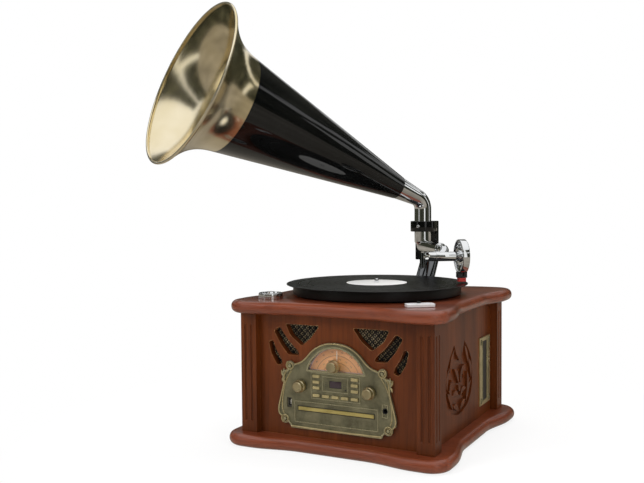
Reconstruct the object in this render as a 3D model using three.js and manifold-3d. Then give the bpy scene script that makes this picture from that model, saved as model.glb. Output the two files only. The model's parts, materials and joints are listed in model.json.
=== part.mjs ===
// A cabinet record player with a swivelling horn, in millimetres.
// X runs to the right along the front, Y to the back and Z up from the middle of the cabinet's underside.
import * as THREE from "three";
import { mergeVertices } from "three/addons/utils/BufferGeometryUtils.js";
import Module from "manifold-3d";

// Clearances: one for parts that only meet, one for parts that run in each other, one overrun for all cuts
const fitGap = 0.3;
const runGap = 0.4;
const cutOverrun = 2;
const weldTolerance = 0.0001;

// Case: four fluted posts with recessed panels between them
const boardThickness = 20;
const caseHalfWidth = 163.5;
const caseHalfDepth = 170;
const caseHeight = 191.3;
const postSize = 28;
const panelRecess = 12.5;
const panelThickness = 12;
const backPanelThickness = 6;
const fluteRadius = 2.2;
const fluteOffset = 5.5;
const fluteEndMargin = 18;
const fluteSides = 8;

const caseFloor = boardThickness;
const caseTop = caseFloor + caseHeight;
const deckTop = caseTop + boardThickness;
const postInnerX = caseHalfWidth - postSize;
const postInnerY = caseHalfDepth - postSize;
const panelFrontY = -(caseHalfDepth - panelRecess);
const panelBackY = panelFrontY + panelThickness;
const sideOuterX = caseHalfWidth - panelRecess;
const sideInnerX = sideOuterX - panelThickness;
const rearOuterY = caseHalfDepth - panelRecess;
const rearInnerY = rearOuterY - backPanelThickness;

// Plinth and top board: solid boards with ears at the corners, hollowed sides and a full round edge
const plinthReach = 24;
const topReach = 20;
const boardEdgeRadius = 9.7;
const earRadius = 33;
const frontHollow = 11.5;
const sideHollow = 14;
const hollowFlatShare = 0.29;
const hollowEndShare = 0.74;
const hollowSteps = 3;
const earSteps = 4;
const edgeSteps = 2;

const topHalfWidth = caseHalfWidth + topReach;
const topHalfDepth = caseHalfDepth + topReach;

// Speaker cut-outs on one half of the front panel, as shares of its half width and of its height
const cutoutCorner = 3.2;
const cutoutLargeShares = [
  [0.21, 0.917],
  [0.653, 0.917],
  [0.59, 0.826],
  [0.443, 0.745],
  [0.317, 0.815],
];
const cutoutMiddleShares = [
  [0.731, 0.891],
  [0.812, 0.857],
  [0.716, 0.742],
  [0.62, 0.664],
  [0.472, 0.664],
  [0.487, 0.7],
  [0.605, 0.774],
];
const cutoutSmallShares = [
  [0.823, 0.776],
  [0.882, 0.763],
  [0.849, 0.664],
  [0.768, 0.57],
  [0.701, 0.58],
  [0.708, 0.622],
  [0.782, 0.7],
];

// Speaker grilles: a sheet with diamond holes behind each group of cut-outs
const grilleThickness = 0.8;
const grilleMargin = 5;
const meshPitch = 12;
const meshWire = 2;

// Speakers, placed as shares of the front panel's half width and height
const speakerShares = [0.605, 0.758];
const speakerFrameRadius = 33;
const speakerConeRadius = 28;
const speakerFrameThickness = 2;
const speakerConeDepth = 11;
const speakerCapRadius = 9;
const speakerBasketDepth = 18;
const speakerMagnetRadius = 17;
const speakerDepth = 30;
const speakerSides = 16;

// Face plate: a scrolled brass sheet with a raised rim; its right half from the crown down, as shares
const plateHalfWidth = 101;
const plateHeight = 137.7;
const plateRise = 13.7;
const plateSheet = 3;
const plateRimHeight = 1.6;
const plateRimWidth = 2.6;
const plateEyeHeight = 1.2;
const scrollRadius = 7.3;
const scrollEyeRadius = 2.6;
const scrollSides = 12;
const upperScrollShares = [0.777, 0.707];
const lowerScrollShares = [0.871, 0.095];
const plateHalfShares = [
  [0, 1],
  [0.129, 0.993],
  [0.238, 0.97],
  [0.337, 0.93],
  [0.421, 0.881],
  [0.495, 0.819],
  [0.559, 0.776],
  [0.624, 0.747],
  [0.703, 0.728],
  upperScrollShares,
  [0.837, 0.645],
  [0.891, 0.656],
  [0.921, 0.619],
  [0.911, 0.561],
  [0.896, 0.503],
  [0.941, 0.387],
  [0.98, 0.278],
  [1, 0.206],
  [0.99, 0.147],
  [0.946, 0.118],
  lowerScrollShares,
  [0.782, 0.035],
  [0.762, 0],
];
const plateBottomZ = caseFloor + plateRise;
const plateFrontY = panelFrontY - plateSheet;
const plateRimY = plateFrontY - plateRimHeight;

// Tuning dial: a printed half-round tray behind a clear lens, swept by a pointer
const dialCentreRise = 79.3;
const dialWindowRadius = 49.5;
const dialFloorRise = 14;
const dialOverlap = 2;
const dialFrameWidth = 3;
const lensThickness = 2;
const dialCavity = 3;
const dialTrayFloor = 1;
const dialTrayRim = 2;
const dialSteps = 12;
const dialCentreZ = plateBottomZ + dialCentreRise;
const dialWindowFloorZ = dialCentreZ + dialFloorRise;

// Knobs: tuning in the middle of the dial, volume on the left, function on the right
const knobRadius = 9.5;
const knobDepth = 14;
const knobTopRadius = 8.2;
const knobGroove = 1.2;
const knobStandOff = 1;
const shaftRadius = 3;
const tuningRise = 23.5;
const sideKnobX = 58.8;
const sideKnobRise = 67.5;
const knobSides = 14;
const pointerLength = 22;
const pointerWidth = 1.4;
const pointerThickness = 1;
const tuningZ = dialCentreZ + tuningRise;
const sideKnobZ = plateBottomZ + sideKnobRise;

// Push buttons: three at each side of the display and a row of five under it
const buttonWidth = 11.6;
const buttonHeight = 4.6;
const buttonColumnX = 32.7;
const buttonTopRise = 84.3;
const buttonRowRise = 54.3;
const buttonPitch = 9;
const buttonProud = 2.2;
const buttonFlangeExtra = 1;
const buttonFlange = 1;
const buttonStem = 3;
const buttonTravel = 1.5;
const buttonTopZ = plateBottomZ + buttonTopRise;
const buttonRowZ = plateBottomZ + buttonRowRise;
const buttonColumnZs = [0, 1, 2].map((i) => buttonTopZ - i * buttonPitch);
const buttonRowXs = [-buttonColumnX, -buttonColumnX / 2, 0, buttonColumnX / 2, buttonColumnX];

// Raised borders on the face plate and the display window
const borderWidth = 1.2;
const borderHeight = 0.7;
const keypadHalfWidth = 42;
const keypadMargin = 5.5;
const displayRise = 73.5;
const displayHalfWidth = 10.2;
const displayHalfHeight = 5.2;
const displayFrameHalfWidth = 22.2;
const displayFrameHalfHeight = 11.8;
const displayZ = plateBottomZ + displayRise;

// Control board behind the face plate
const boardGap = 14.5;
const circuitThickness = 1.6;
const controlSideMargin = 11.2;
const controlFloorMargin = 6;
const controlTopMargin = 7;
const controlTabHalf = 12;
const controlTabMargin = 9.5;
const potRadius = 8;
const potDepth = 7.5;
const potSides = 10;
const switchSize = 6;
const switchDepth = 4;
const pillarRadius = 2.5;
const pillarInset = 4;
const pillarGap = 0.8;
const pillarSides = 8;
const circuitY = panelFrontY + boardGap;
const controlHalfWidth = sideKnobX + controlSideMargin;
const controlFloorZ = buttonRowZ - controlFloorMargin;
const controlTopZ = buttonTopZ + controlTopMargin;

// Disc drawer and its mechanism
const drawerHalfWidth = 64.3;
const drawerHeight = 5.6;
const drawerRise = 28.9;
const drawerProud = 1;
const drawerFrontDepth = 5.5;
const trayThickness = 4.4;
const trayTail = 13;
const discRadius = 60.5;
const discPocket = 1.5;
const discHoleRadius = 12;
const discMargin = 4;
const discSides = 28;
const drawerBorderHalf = 71.4;
const drawerBorderRise = 9.3;
const drawerBorderHeight = 33.8;
const drawerBorderFloorZ = plateBottomZ + drawerBorderRise;
const mechanismSideWall = 7.3;
const mechanismBelow = 20.2;
const mechanismAbove = 11.4;
const mechanismFrontGap = 7;
const mechanismBackRoom = 4.5;
const mechanismBackWall = 4;
const mechanismLeg = 10;
const drawerFloorZ = plateBottomZ + drawerRise;
const mechanismHalfWidth = drawerHalfWidth + runGap + mechanismSideWall;
const mechanismFloorZ = drawerFloorZ - runGap - mechanismBelow;
const mechanismTopZ = drawerFloorZ + drawerHeight + runGap + mechanismAbove;

// Sockets beside the drawer
const usbX = -81;
const usbRise = 39;
const usbWidth = 8.6;
const usbHeight = 15.4;
const usbWall = 1.3;
const usbSlotWidth = 5;
const usbSlotHeight = 12.4;
const usbSlotDepth = 12;
const socketDepth = 14;
const jackX = 82.5;
const jackRise = 41.8;
const jackNoseRadius = 4.3;
const jackBoreRadius = 3.2;
const jackBoreDepth = 13;
const jackBlock = 10;
const jackFrameHalfWidth = 5;
const jackFrameHalfHeight = 10.2;
const jackSides = 12;
const usbZ = plateBottomZ + usbRise;
const jackZ = plateBottomZ + jackRise;

// Opening in the front panel behind the face plate, clear of what passes through it
const bayMargin = 1;
const bayWallMargin = 16;
const bayHalf = jackX + jackBlock / 2 + bayMargin;
const bayShoulderHalf = controlHalfWidth + bayMargin;
const bayFloorZ = mechanismFloorZ - bayMargin;
const bayWallZ = jackZ + bayWallMargin;
const bayShoulderZ = controlTopZ + bayMargin;
const bayArchRadius = dialWindowRadius + dialOverlap + bayMargin;

// Carving on the side panels: a sunk field with two upright tips, filled with leaf scrolls, as shares
const carvingHalfWidth = 64.5;
const carvingHeight = 114;
const carvingRise = 28;
const carvingForward = 24;
const carvingDepth = 4;
const carvingHalfShares = [
  [0, 0],
  [0.2, 0.013],
  [0.62, 0.075],
  [0.87, 0.184],
  [0.985, 0.333],
  [1, 0.509],
  [0.915, 0.702],
  [0.7, 0.851],
  [0.39, 1],
  [0.25, 0.868],
  [0, 0.754],
];
const leafHalfShares = [
  { root: [0.047, 0.053], tip: [0.465, 0.158], bulge: 0.14, curl: 0.35 },
  { root: [0.512, 0.123], tip: [0.884, 0.386], bulge: 0.155, curl: 0.4 },
  { root: [0.915, 0.421], tip: [0.713, 0.719], bulge: 0.14, curl: -0.5 },
  { root: [0.698, 0.649], tip: [0.388, 0.939], bulge: 0.124, curl: -0.3 },
  { root: [0.062, 0.263], tip: [0.496, 0.316], bulge: 0.124, curl: 0.6 },
  { root: [0.589, 0.263], tip: [0.589, 0.544], bulge: 0.14, curl: -0.6 },
  { root: [0.062, 0.439], tip: [0.372, 0.667], bulge: 0.14, curl: 0.5 },
];
const leafSteps = 4;
const leafFullness = 0.75;
const bossRadius = 5;
const bossShare = 0.368;
const bossSides = 8;
const piercingRadius = 3.4;
const piercingSides = 6;
const piercingHalfShares = [
  [0.419, 0.228],
  [0.698, 0.386],
  [0.419, 0.491],
];
const carvingY = -carvingForward;
const carvingFloorZ = caseFloor + carvingRise;

// Cassette slot in the right side, with a sprung flap
const cassetteInset = 37;
const cassetteRise = 76;
const bezelHalfWidth = 28;
const bezelHalfHeight = 58;
const bezelProud = 2.5;
const slotHalfWidth = 12;
const slotHalfHeight = 51;
const flapThickness = 1.4;
const flapSetBack = 1.2;
const deckBoxHalfWidth = 25;
const deckBoxHalfHeight = 56;
const deckBoxDepth = 76;
const deckSlotDepth = 66;
const cassetteY = postInnerY - cassetteInset;
const cassetteZ = caseFloor + cassetteRise;

// Power supply on the plinth
const supplyX = -25;
const supplyY = 75;
const supplyHalfWidth = 70;
const supplyHalfDepth = 45;
const supplyLift = 6;
const transformerInset = 8;
const transformerWidth = 52;
const transformerDepth = 44;
const transformerHeight = 40;
const smoothingRadius = 9;
const smoothingHeight = 30;

// Mains inlet and the vents of the back panel
const inletInset = 40.5;
const inletRise = 32;
const inletHalfWidth = 15;
const inletHalfHeight = 11;
const inletFlange = 4;
const inletProud = 2;
const inletDepth = 22;
const inletWall = 3;
const inletPocket = 14;
const ventCount = 6;
const ventHalfWidth = 3;
const ventHalfHeight = 28;
const ventPitch = 16;
const ventRise = 115;
const inletX = -(postInnerX - inletInset);
const inletZ = caseFloor + inletRise;
const ventZ = caseFloor + ventRise;

// Platter, its bearing, and the belt drive under it
const spindleX = 0;
const spindleY = -5;
const platterRadius = 140;
const platterRise = 17.5;
const platterRimGap = 2.3;
const platterRimWidth = 8;
const platterWeb = 6.5;
const hubRadius = 11;
const beltRimRadius = 62;
const beltRimWidth = 4;
const beltRimDrop = 8;
const spindleRadius = 3.6;
const spindleTip = 8.6;
const spindleCone = 1.5;
const spindleDrop = 17;
const platterSides = 32;
const bearingRadius = 10;
const bearingProud = 1;
const bearingFlangeRadius = 22;
const bearingFlange = 3;
const bearingSides = 16;
const motorDistance = 95;
const motorBearing = 140;
const motorRadius = 18;
const motorHeight = 32;
const motorShaftRadius = 1.5;
const motorHoleRadius = 8;
const motorSides = 16;
const pulleyRadius = 6;
const pulleyHeight = 7;
const pulleySides = 14;
const beltThickness = 0.8;
const beltHeight = 5;
const beltArcSteps = 24;

const platterTopZ = deckTop + platterRise;
const platterWebZ = platterTopZ - platterWeb;
const bearingTopZ = deckTop + bearingProud;
const hubZ = bearingTopZ + fitGap;
const rimZ = deckTop + platterRimGap;
const spindleBottomZ = deckTop - spindleDrop;
const beltRimZ = platterWebZ - beltRimDrop;

// Twelve-inch record
const recordRadius = 150.75;
const recordThickness = 1.5;
const recordEdge = 0.4;
const labelRadius = 50.5;
const labelRise = 0.2;
const recordSides = 40;
const recordTopZ = platterTopZ + recordThickness;

// Speed switch at the front right corner of the deck
const switchInsetX = 52.1;
const switchInsetY = 45.5;
const switchTurn = 36.3;
const switchBarLength = 42;
const switchBarDepth = 16;
const switchBarHeight = 5;
const switchGrooveLength = 28;
const switchGrooveWidth = 3;
const switchGrooveDepth = 2;
const switchGrooveBack = 3;
const sliderLength = 5;
const sliderWidth = 5;
const sliderRise = 2.4;

// Centre adaptor for small records, in its seat at the front left
const adaptorInsetX = 53.5;
const adaptorInsetY = 57;
const adaptorRadius = 19.2;
const adaptorHeight = 10.5;
const adaptorSeatDepth = 1.5;
const adaptorDish = 2.2;
const adaptorRimWidth = 4;
const adaptorBossRadius = 6;
const adaptorBossRise = 1.6;
const adaptorSides = 16;
const adaptorX = -(topHalfWidth - adaptorInsetX);
const adaptorY = -(topHalfDepth - adaptorInsetY);

// Arm pivot, shared by the tone arm, the bracket and the horn
const pivotX = 17.3;
const pivotClearance = 30;
const armRise = 72.7;
const pipeRadius = 15.3;
const pipeBore = 12.8;
const pipeSides = 14;
const pivotY = spindleY + platterRadius + pivotClearance;
const armZ = deckTop + armRise;

// Bracket: a leaning column with the arm's pivot boss, a bar on top of it and a clamp ring round the pipe
const columnBottomRadius = 17.5;
const columnTopRadius = 17;
const columnAside = 4.7;
const columnFootForward = 12;
const columnTopBack = 22;
const columnTopDrop = 13.9;
const columnSides = 16;
const bossPivotRadius = 6;
const bossPivotHeight = 32;
const bossPivotGap = 2;
const barHalfWidth = 21.5;
const barThickness = 10;
const barBack = 16;
const ringOuterRadius = 22.5;
const ringHeight = 19;
const ringRise = 26;
const pinRadius = 3.5;
const pinDepth = 7;
const clampScrewRadius = 3.2;
const clampScrewHead = 3;
const armBallRadius = 11.4;
const pivotBossZ = armZ - armBallRadius - bossPivotGap;
const columnTopZ = pivotBossZ - columnTopDrop;
const ringBottomZ = armZ + ringRise;
const ringTopZ = ringBottomZ + ringHeight;
const pipeJointZ = ringBottomZ + ringHeight / 2;

// Tone arm and gooseneck: the arm points past the outer grooves, the gooseneck curls round to the sound box
const armTurn = -54;
const armShoulder = 8;
const armStartRadius = 10.8;
const armEndRadius = 9.6;
const armJointAt = 112;
const spigotRadius = 6;
const spigotLength = 12;
const collarExtra = 0.8;
const collarLength = 4;
const headReach = 169.3;
const headAside = 20.3;
const neckDrop = 9.5;
const neckRadius = 7.7;
const neckTurnRadius = 11;
const neckOut = 33;
const neckBulge = 14.7;
const neckSteps = 22;
const neckBendSteps = 3;
const neckLoopSteps = 6;
const neckSides = 12;

// Sound box, cartridge and stylus
const soundBoxRadius = 28;
const soundBoxThickness = 12;
const soundBoxLip = 3;
const soundBoxEdge = 1;
const soundBoxDish = 2;
const soundBoxHubRadius = 10;
const soundBoxSides = 24;
const spokeCount = 6;
const spokeHoleRadius = 4.4;
const spokeHoleDepth = 2;
const spokeHoleSides = 6;
const cartridgeWidth = 10;
const cartridgeInner = 8.3;
const cartridgeOuter = 8;
const cartridgeGrip = 2.5;
const carrierThickness = 5.5;
const carrierGap = 1.8;
const stylusHalfLength = 6.5;
const stylusWidth = 8;
const stylusHeight = 6.2;
const stylusClear = 2.5;
const stylusTip = 0.8;
const headZ = armZ - neckDrop;

// Horn: chrome elbow and neck, black cone, brass bell with a rolled rim
const hornBendRise = 38;
const hornBendRadius = 24;
const hornBendSteps = 6;
const hornBendLap = 0.5;
const hornTurn = -31.3;
const hornRise = 22.2;
const neckLength = 62;
const neckEndRadius = 20.4;
const neckSpigot = 12;
const hornWall = 1.2;
const coneStartRadius = 21;
const coneEndAt = 412;
const coneEndRadius = 82;
const bellEndAt = 487.8;
const bellRadius = 136;
const rimBead = 2.2;
const bellSteps = 5;
const beadSteps = 4;
const hornSides = 32;
const bellFlareShare = 0.26;
const bellFlarePower = 2.6;
const bellStepPower = 0.7;
const hornBendZ = ringTopZ + hornBendRise;

const wasm = await Module();
wasm.setup();

// Turns a closed geometry into a solid for cutting and joining.
function solidOf(geometry) {
  const bare = geometry.index ? geometry.toNonIndexed() : geometry.clone();
  bare.deleteAttribute("normal");
  bare.deleteAttribute("uv");
  const merged = mergeVertices(bare, weldTolerance);
  return new wasm.Manifold(
    new wasm.Mesh({
      numProp: 3,
      vertProperties: merged.attributes.position.array,
      triVerts: new Uint32Array(merged.index.array),
    }),
  );
}

// Turns a solid back into a geometry.
function geometryOf(solid) {
  const mesh = solid.getMesh();
  const geometry = new THREE.BufferGeometry();
  const positions = new Float32Array(mesh.vertProperties);
  geometry.setAttribute("position", new THREE.BufferAttribute(positions, 3));
  geometry.setIndex(new THREE.BufferAttribute(new Uint32Array(mesh.triVerts), 1));
  geometry.computeVertexNormals();
  return geometry;
}

function join(...geometries) {
  const solids = geometries.map(solidOf);
  return geometryOf(solids.reduce((whole, next) => whole.add(next)));
}

function cut(geometry, ...tools) {
  const solids = tools.map(solidOf);
  return geometryOf(solids.reduce((whole, tool) => whole.subtract(tool), solidOf(geometry)));
}

// A block between two corners.
function block([x0, y0, z0], [x1, y1, z1]) {
  const geometry = new THREE.BoxGeometry(x1 - x0, y1 - y0, z1 - z0);
  return geometry.translate((x0 + x1) / 2, (y0 + y1) / 2, (z0 + z1) / 2);
}

// A shape drawn in X and Z, standing between two depths.
function upright(shape, yFront, yBack) {
  const geometry = new THREE.ExtrudeGeometry(shape, { depth: yBack - yFront, bevelEnabled: false });
  return geometry.rotateX(Math.PI / 2).translate(0, yBack, 0);
}

// A shape drawn in Y and Z, standing between two places along X.
function sideways(shape, x0, x1) {
  const geometry = new THREE.ExtrudeGeometry(shape, { depth: x1 - x0, bevelEnabled: false });
  return geometry.rotateX(Math.PI / 2).rotateZ(Math.PI / 2).translate(x0, 0, 0);
}

// A round bar along Z, along Y or along X.
function barZ(radius, x, y, z0, z1, sides, topRadius = radius) {
  const geometry = new THREE.CylinderGeometry(topRadius, radius, z1 - z0, sides);
  return geometry.rotateX(Math.PI / 2).translate(x, y, (z0 + z1) / 2);
}

function barY(radius, x, z, y0, y1, sides) {
  const geometry = new THREE.CylinderGeometry(radius, radius, y1 - y0, sides);
  return geometry.translate(x, (y0 + y1) / 2, z);
}

function barX(radius, y, z, x0, x1, sides) {
  const geometry = new THREE.CylinderGeometry(radius, radius, x1 - x0, sides);
  return geometry.rotateZ(-Math.PI / 2).translate((x0 + x1) / 2, y, z);
}

// A turned shape about Z from radius and height pairs, listed from the foot of the axis outwards and up.
function turned(profile, sides) {
  const points = profile.map(([r, z]) => new THREE.Vector2(r, z));
  return new THREE.LatheGeometry(points, sides).rotateX(Math.PI / 2);
}

function closedProfile(profile) {
  return [...profile, profile[0]];
}

function polygon(points) {
  return new THREE.Shape(points.map(([x, y]) => new THREE.Vector2(x, y)));
}

// Places from shares of a half width and of a height above a floor.
function placed(shares, halfWidth, floorZ, height) {
  return shares.map(([x, z]) => [x * halfWidth, floorZ + z * height]);
}

function mirrorPoints(points) {
  return points.map(([x, z]) => [-x, z]).reverse();
}

// A polygon with its corners rounded by short curves.
function roundedPolygon(points, radius) {
  const shape = new THREE.Shape();
  const count = points.length;
  points.forEach((corner, i) => {
    const here = new THREE.Vector2(...corner);
    const before = new THREE.Vector2(...points[(i + count - 1) % count]);
    const after = new THREE.Vector2(...points[(i + 1) % count]);
    const back = Math.min(radius, here.distanceTo(before) / 2);
    const ahead = Math.min(radius, here.distanceTo(after) / 2);
    const start = here.clone().add(before.sub(here).setLength(back));
    const end = here.clone().add(after.sub(here).setLength(ahead));
    if (i === 0) shape.moveTo(start.x, start.y);
    else shape.lineTo(start.x, start.y);
    shape.quadraticCurveTo(here.x, here.y, end.x, end.y);
  });
  shape.closePath();
  return polygon(cleanPoints(shape.getPoints(2)));
}

// Drops repeated points from an outline.
function cleanPoints(points) {
  const kept = points.filter((p, i) => i === 0 || p.distanceTo(points[i - 1]) > weldTolerance);
  if (kept[0].distanceTo(kept[kept.length - 1]) < weldTolerance) kept.pop();
  return kept.map((p) => [p.x, p.y]);
}

// An outline moved inwards by a distance, corner by corner; the outline runs anticlockwise.
const sharpestSpreadShare = 0.5;

function inset(points, distance) {
  const count = points.length;
  return points.map((corner, i) => {
    const here = new THREE.Vector2(...corner);
    const before = here.clone().sub(new THREE.Vector2(...points[(i + count - 1) % count])).normalize();
    const after = new THREE.Vector2(...points[(i + 1) % count]).sub(here).normalize();
    const normal = new THREE.Vector2(-before.y - after.y, before.x + after.x).normalize();
    const spread = Math.max(sharpestSpreadShare, normal.dot(new THREE.Vector2(-before.y, before.x)));
    const moved = here.addScaledVector(normal, distance / spread);
    return [moved.x, moved.y];
  });
}

const group = new THREE.Group();

function finish(color, roughness, metalness) {
  return () => new THREE.MeshStandardMaterial({ color, roughness, metalness });
}

const mahogany = finish(0x6a2f1c, 0.35, 0);
const fibreboard = finish(0x2a211b, 0.8, 0);
const brass = finish(0x75704f, 0.42, 0.9);
const brightBrass = finish(0xc2a565, 0.2, 1);
const chrome = finish(0xd8dadc, 0.08, 1);
const blackLacquer = finish(0x0b0c0c, 0.12, 0.1);
const blackPlastic = finish(0x141414, 0.5, 0);
const vinyl = finish(0x0d0d0d, 0.3, 0);
const dialPaper = finish(0xdba66b, 0.6, 0);
const clearPlastic = finish(0xe8e4dc, 0.1, 0);
const circuitGreen = finish(0x1f4d2b, 0.6, 0);
const steel = finish(0x9a9a98, 0.35, 0.9);
const rubber = finish(0x1b1b1b, 0.9, 0);
const redPlastic = finish(0xb3201c, 0.4, 0);

function add(name, geometry, material, parent = group) {
  const mesh = new THREE.Mesh(geometry, material());
  mesh.name = name;
  parent.add(mesh);
  return mesh;
}

function between(a, b, share) {
  return a + (b - a) * share;
}

// Outline of a board: straight in the middle of each side, curving out to the ears.
function boardOutline(halfWidth, halfDepth) {
  const points = [];
  const side = (half, reach, hollow, place) => {
    const flat = half * hollowFlatShare;
    const end = half * hollowEndShare;
    const steps = Array.from({ length: hollowSteps + 1 }, (_, i) => between(flat, end, i / hollowSteps));
    for (const x of [...steps.map((step) => -step).reverse(), ...steps]) {
      const t = (Math.abs(x) - flat) / (end - flat);
      points.push(place(x, reach - (hollow * (1 + Math.cos(Math.PI * t))) / 2));
    }
    for (let i = 0; i <= earSteps; i++) {
      const a = ((i / earSteps) * Math.PI) / 2;
      const x = half - earRadius + earRadius * Math.sin(a);
      points.push(place(x, reach - earRadius + earRadius * Math.cos(a)));
    }
  };
  side(halfWidth, halfDepth, frontHollow, (s, r) => [s, -r]);
  side(halfDepth, halfWidth, sideHollow, (s, r) => [r, s]);
  side(halfWidth, halfDepth, frontHollow, (s, r) => [-s, r]);
  side(halfDepth, halfWidth, sideHollow, (s, r) => [-r, -s]);
  return points;
}

// A board that reaches past the case on all sides.
function board(reach, z) {
  const outline = boardOutline(caseHalfWidth + reach, caseHalfDepth + reach);
  const geometry = new THREE.ExtrudeGeometry(polygon(outline), {
    depth: boardThickness - 2 * boardEdgeRadius,
    bevelThickness: boardEdgeRadius,
    bevelSize: boardEdgeRadius,
    bevelOffset: -boardEdgeRadius,
    bevelSegments: edgeSteps,
  });
  return geometry.translate(0, 0, z + boardEdgeRadius);
}

const motorAngle = THREE.MathUtils.degToRad(motorBearing);
const motorX = spindleX + motorDistance * Math.cos(motorAngle);
const motorY = spindleY + motorDistance * Math.sin(motorAngle);

function cabinet() {
  add("base_plinth", board(plinthReach, 0), mahogany);
  const deckBottom = caseTop - cutOverrun;
  const deckOver = deckTop + cutOverrun;
  const deck = cut(
    board(topReach, caseTop),
    barZ(bearingRadius + fitGap, spindleX, spindleY, deckBottom, deckOver, bearingSides),
    barZ(motorHoleRadius, motorX, motorY, deckBottom, deckOver, pulleySides),
    barZ(adaptorRadius + runGap, adaptorX, adaptorY, deckTop - adaptorSeatDepth, deckOver, adaptorSides),
  );
  add("top_board", deck, mahogany);
}

// A corner post with two flutes down each of its outer faces.
function post(name, signX, signY) {
  const x0 = signX > 0 ? postInnerX : -caseHalfWidth;
  const y0 = signY > 0 ? postInnerY : -caseHalfDepth;
  const body = block([x0, y0, caseFloor], [x0 + postSize, y0 + postSize, caseTop]);
  const length = caseHeight - 2 * fluteEndMargin - 2 * fluteRadius;
  const middleX = x0 + postSize / 2;
  const middleY = y0 + postSize / 2;
  const middleZ = caseFloor + caseHeight / 2;
  const flutes = [-fluteOffset, fluteOffset].flatMap((offset) => [
    new THREE.CapsuleGeometry(fluteRadius, length, 2, fluteSides)
      .rotateX(Math.PI / 2)
      .translate(signX * caseHalfWidth, middleY + offset, middleZ),
    new THREE.CapsuleGeometry(fluteRadius, length, 2, fluteSides)
      .rotateX(Math.PI / 2)
      .translate(middleX + offset, signY * caseHalfDepth, middleZ),
  ]);
  add(name, cut(body, ...flutes), mahogany);
}

function posts() {
  post("post_front_left", -1, -1);
  post("post_front_right", 1, -1);
  post("post_rear_left", -1, 1);
  post("post_rear_right", 1, 1);
}

// The part of a circle round the dial's centre that lies above a floor.
function halfRound(radius, floorZ, steps) {
  const half = Math.sqrt(radius ** 2 - (floorZ - dialCentreZ) ** 2);
  const start = Math.atan2(floorZ - dialCentreZ, half);
  const points = [];
  for (let i = 0; i <= steps; i++) {
    const a = between(start, Math.PI - start, i / steps);
    points.push([radius * Math.cos(a), dialCentreZ + radius * Math.sin(a)]);
  }
  return polygon(points);
}

const cutouts = [cutoutLargeShares, cutoutMiddleShares, cutoutSmallShares].map((shares) =>
  placed(shares, postInnerX, caseFloor, caseHeight),
);

// Front panel with its speaker cut-outs and one opening behind the face plate.
function frontPanel() {
  const front = panelFrontY - cutOverrun;
  const back = panelBackY + cutOverrun;
  const bay = polygon([
    [-bayHalf, bayFloorZ],
    [bayHalf, bayFloorZ],
    [bayHalf, bayWallZ],
    [bayShoulderHalf, bayShoulderZ],
    [-bayShoulderHalf, bayShoulderZ],
    [-bayHalf, bayWallZ],
  ]);
  const body = block([-postInnerX, panelFrontY, caseFloor], [postInnerX, panelBackY, caseTop]);
  const holes = cutouts.flatMap((points) => [
    upright(roundedPolygon(points, cutoutCorner), front, back),
    upright(roundedPolygon(mirrorPoints(points), cutoutCorner), front, back),
  ]);
  const arch = barY(bayArchRadius, 0, dialCentreZ, front, back, 2 * dialSteps);
  add("front_panel", cut(body, join(upright(bay, front, back), arch), ...holes), mahogany);
}

// Whether a point lies inside an outline moved outwards by a margin.
function nearOutline([x, z], points, margin) {
  const count = points.length;
  let inside = false;
  for (let i = 0; i < count; i++) {
    const a = new THREE.Vector2(...points[i]);
    const b = new THREE.Vector2(...points[(i + 1) % count]);
    if (a.y > z !== b.y > z && x < ((b.x - a.x) * (z - a.y)) / (b.y - a.y) + a.x) inside = !inside;
    const along = b.clone().sub(a);
    const t = THREE.MathUtils.clamp(
      new THREE.Vector2(x, z).sub(a).dot(along) / along.lengthSq(),
      0,
      1,
    );
    if (a.addScaledVector(along, t).distanceTo(new THREE.Vector2(x, z)) < margin) return true;
  }
  return inside;
}

function grille(name, sign) {
  const xs = cutouts.flat().map(([x]) => x);
  const zs = cutouts.flat().map(([, z]) => z);
  const x0 = Math.min(...xs) - grilleMargin;
  const x1 = Math.max(...xs) + grilleMargin;
  const z0 = Math.min(...zs) - grilleMargin;
  const z1 = Math.max(...zs) + grilleMargin;
  const sheet = block(
    [Math.min(sign * x0, sign * x1), panelBackY, z0],
    [Math.max(sign * x0, sign * x1), panelBackY + grilleThickness, z1],
  );
  const half = (meshPitch - meshWire) / 2;
  const columns = Math.floor((x1 - x0 - meshPitch) / (meshPitch / 2));
  const rows = Math.floor((z1 - z0 - meshPitch) / meshPitch);
  const holes = [];
  for (let column = 0; column < columns; column++) {
    for (let row = 0; row < rows; row++) {
      const x = x0 + meshPitch + (column * meshPitch) / 2;
      const z = z0 + meshPitch + row * meshPitch + ((column % 2) * meshPitch) / 2;
      if (!cutouts.some((points) => nearOutline([x, z], points, meshWire))) continue;
      const hole = polygon([
        [sign * x - half, z],
        [sign * x, z - half],
        [sign * x + half, z],
        [sign * x, z + half],
      ]);
      holes.push(upright(hole, panelBackY - cutOverrun, panelBackY + cutOverrun));
    }
  }
  add(name, cut(sheet, ...holes), brass);
}

function speaker(name, sign) {
  const profile = [
    [0, speakerDepth],
    [speakerMagnetRadius, speakerDepth],
    [speakerMagnetRadius, speakerBasketDepth],
    [speakerConeRadius, speakerFrameThickness],
    [speakerFrameRadius, speakerFrameThickness],
    [speakerFrameRadius, 0],
    [speakerConeRadius, 0],
    [speakerCapRadius, speakerConeDepth],
    [0, speakerConeDepth - speakerFrameThickness],
  ].reverse();
  const geometry = new THREE.LatheGeometry(
    profile.map(([r, y]) => new THREE.Vector2(r, y)),
    speakerSides,
  );
  const [[x, z]] = placed([speakerShares], postInnerX, caseFloor, caseHeight);
  const mesh = add(name, geometry, blackPlastic);
  mesh.position.set(sign * x, panelBackY + grilleThickness, z);
}

function rectangle(halfWidth, z0, z1, x = 0) {
  return [
    [x - halfWidth, z0],
    [x + halfWidth, z0],
    [x + halfWidth, z1],
    [x - halfWidth, z1],
  ];
}

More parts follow.
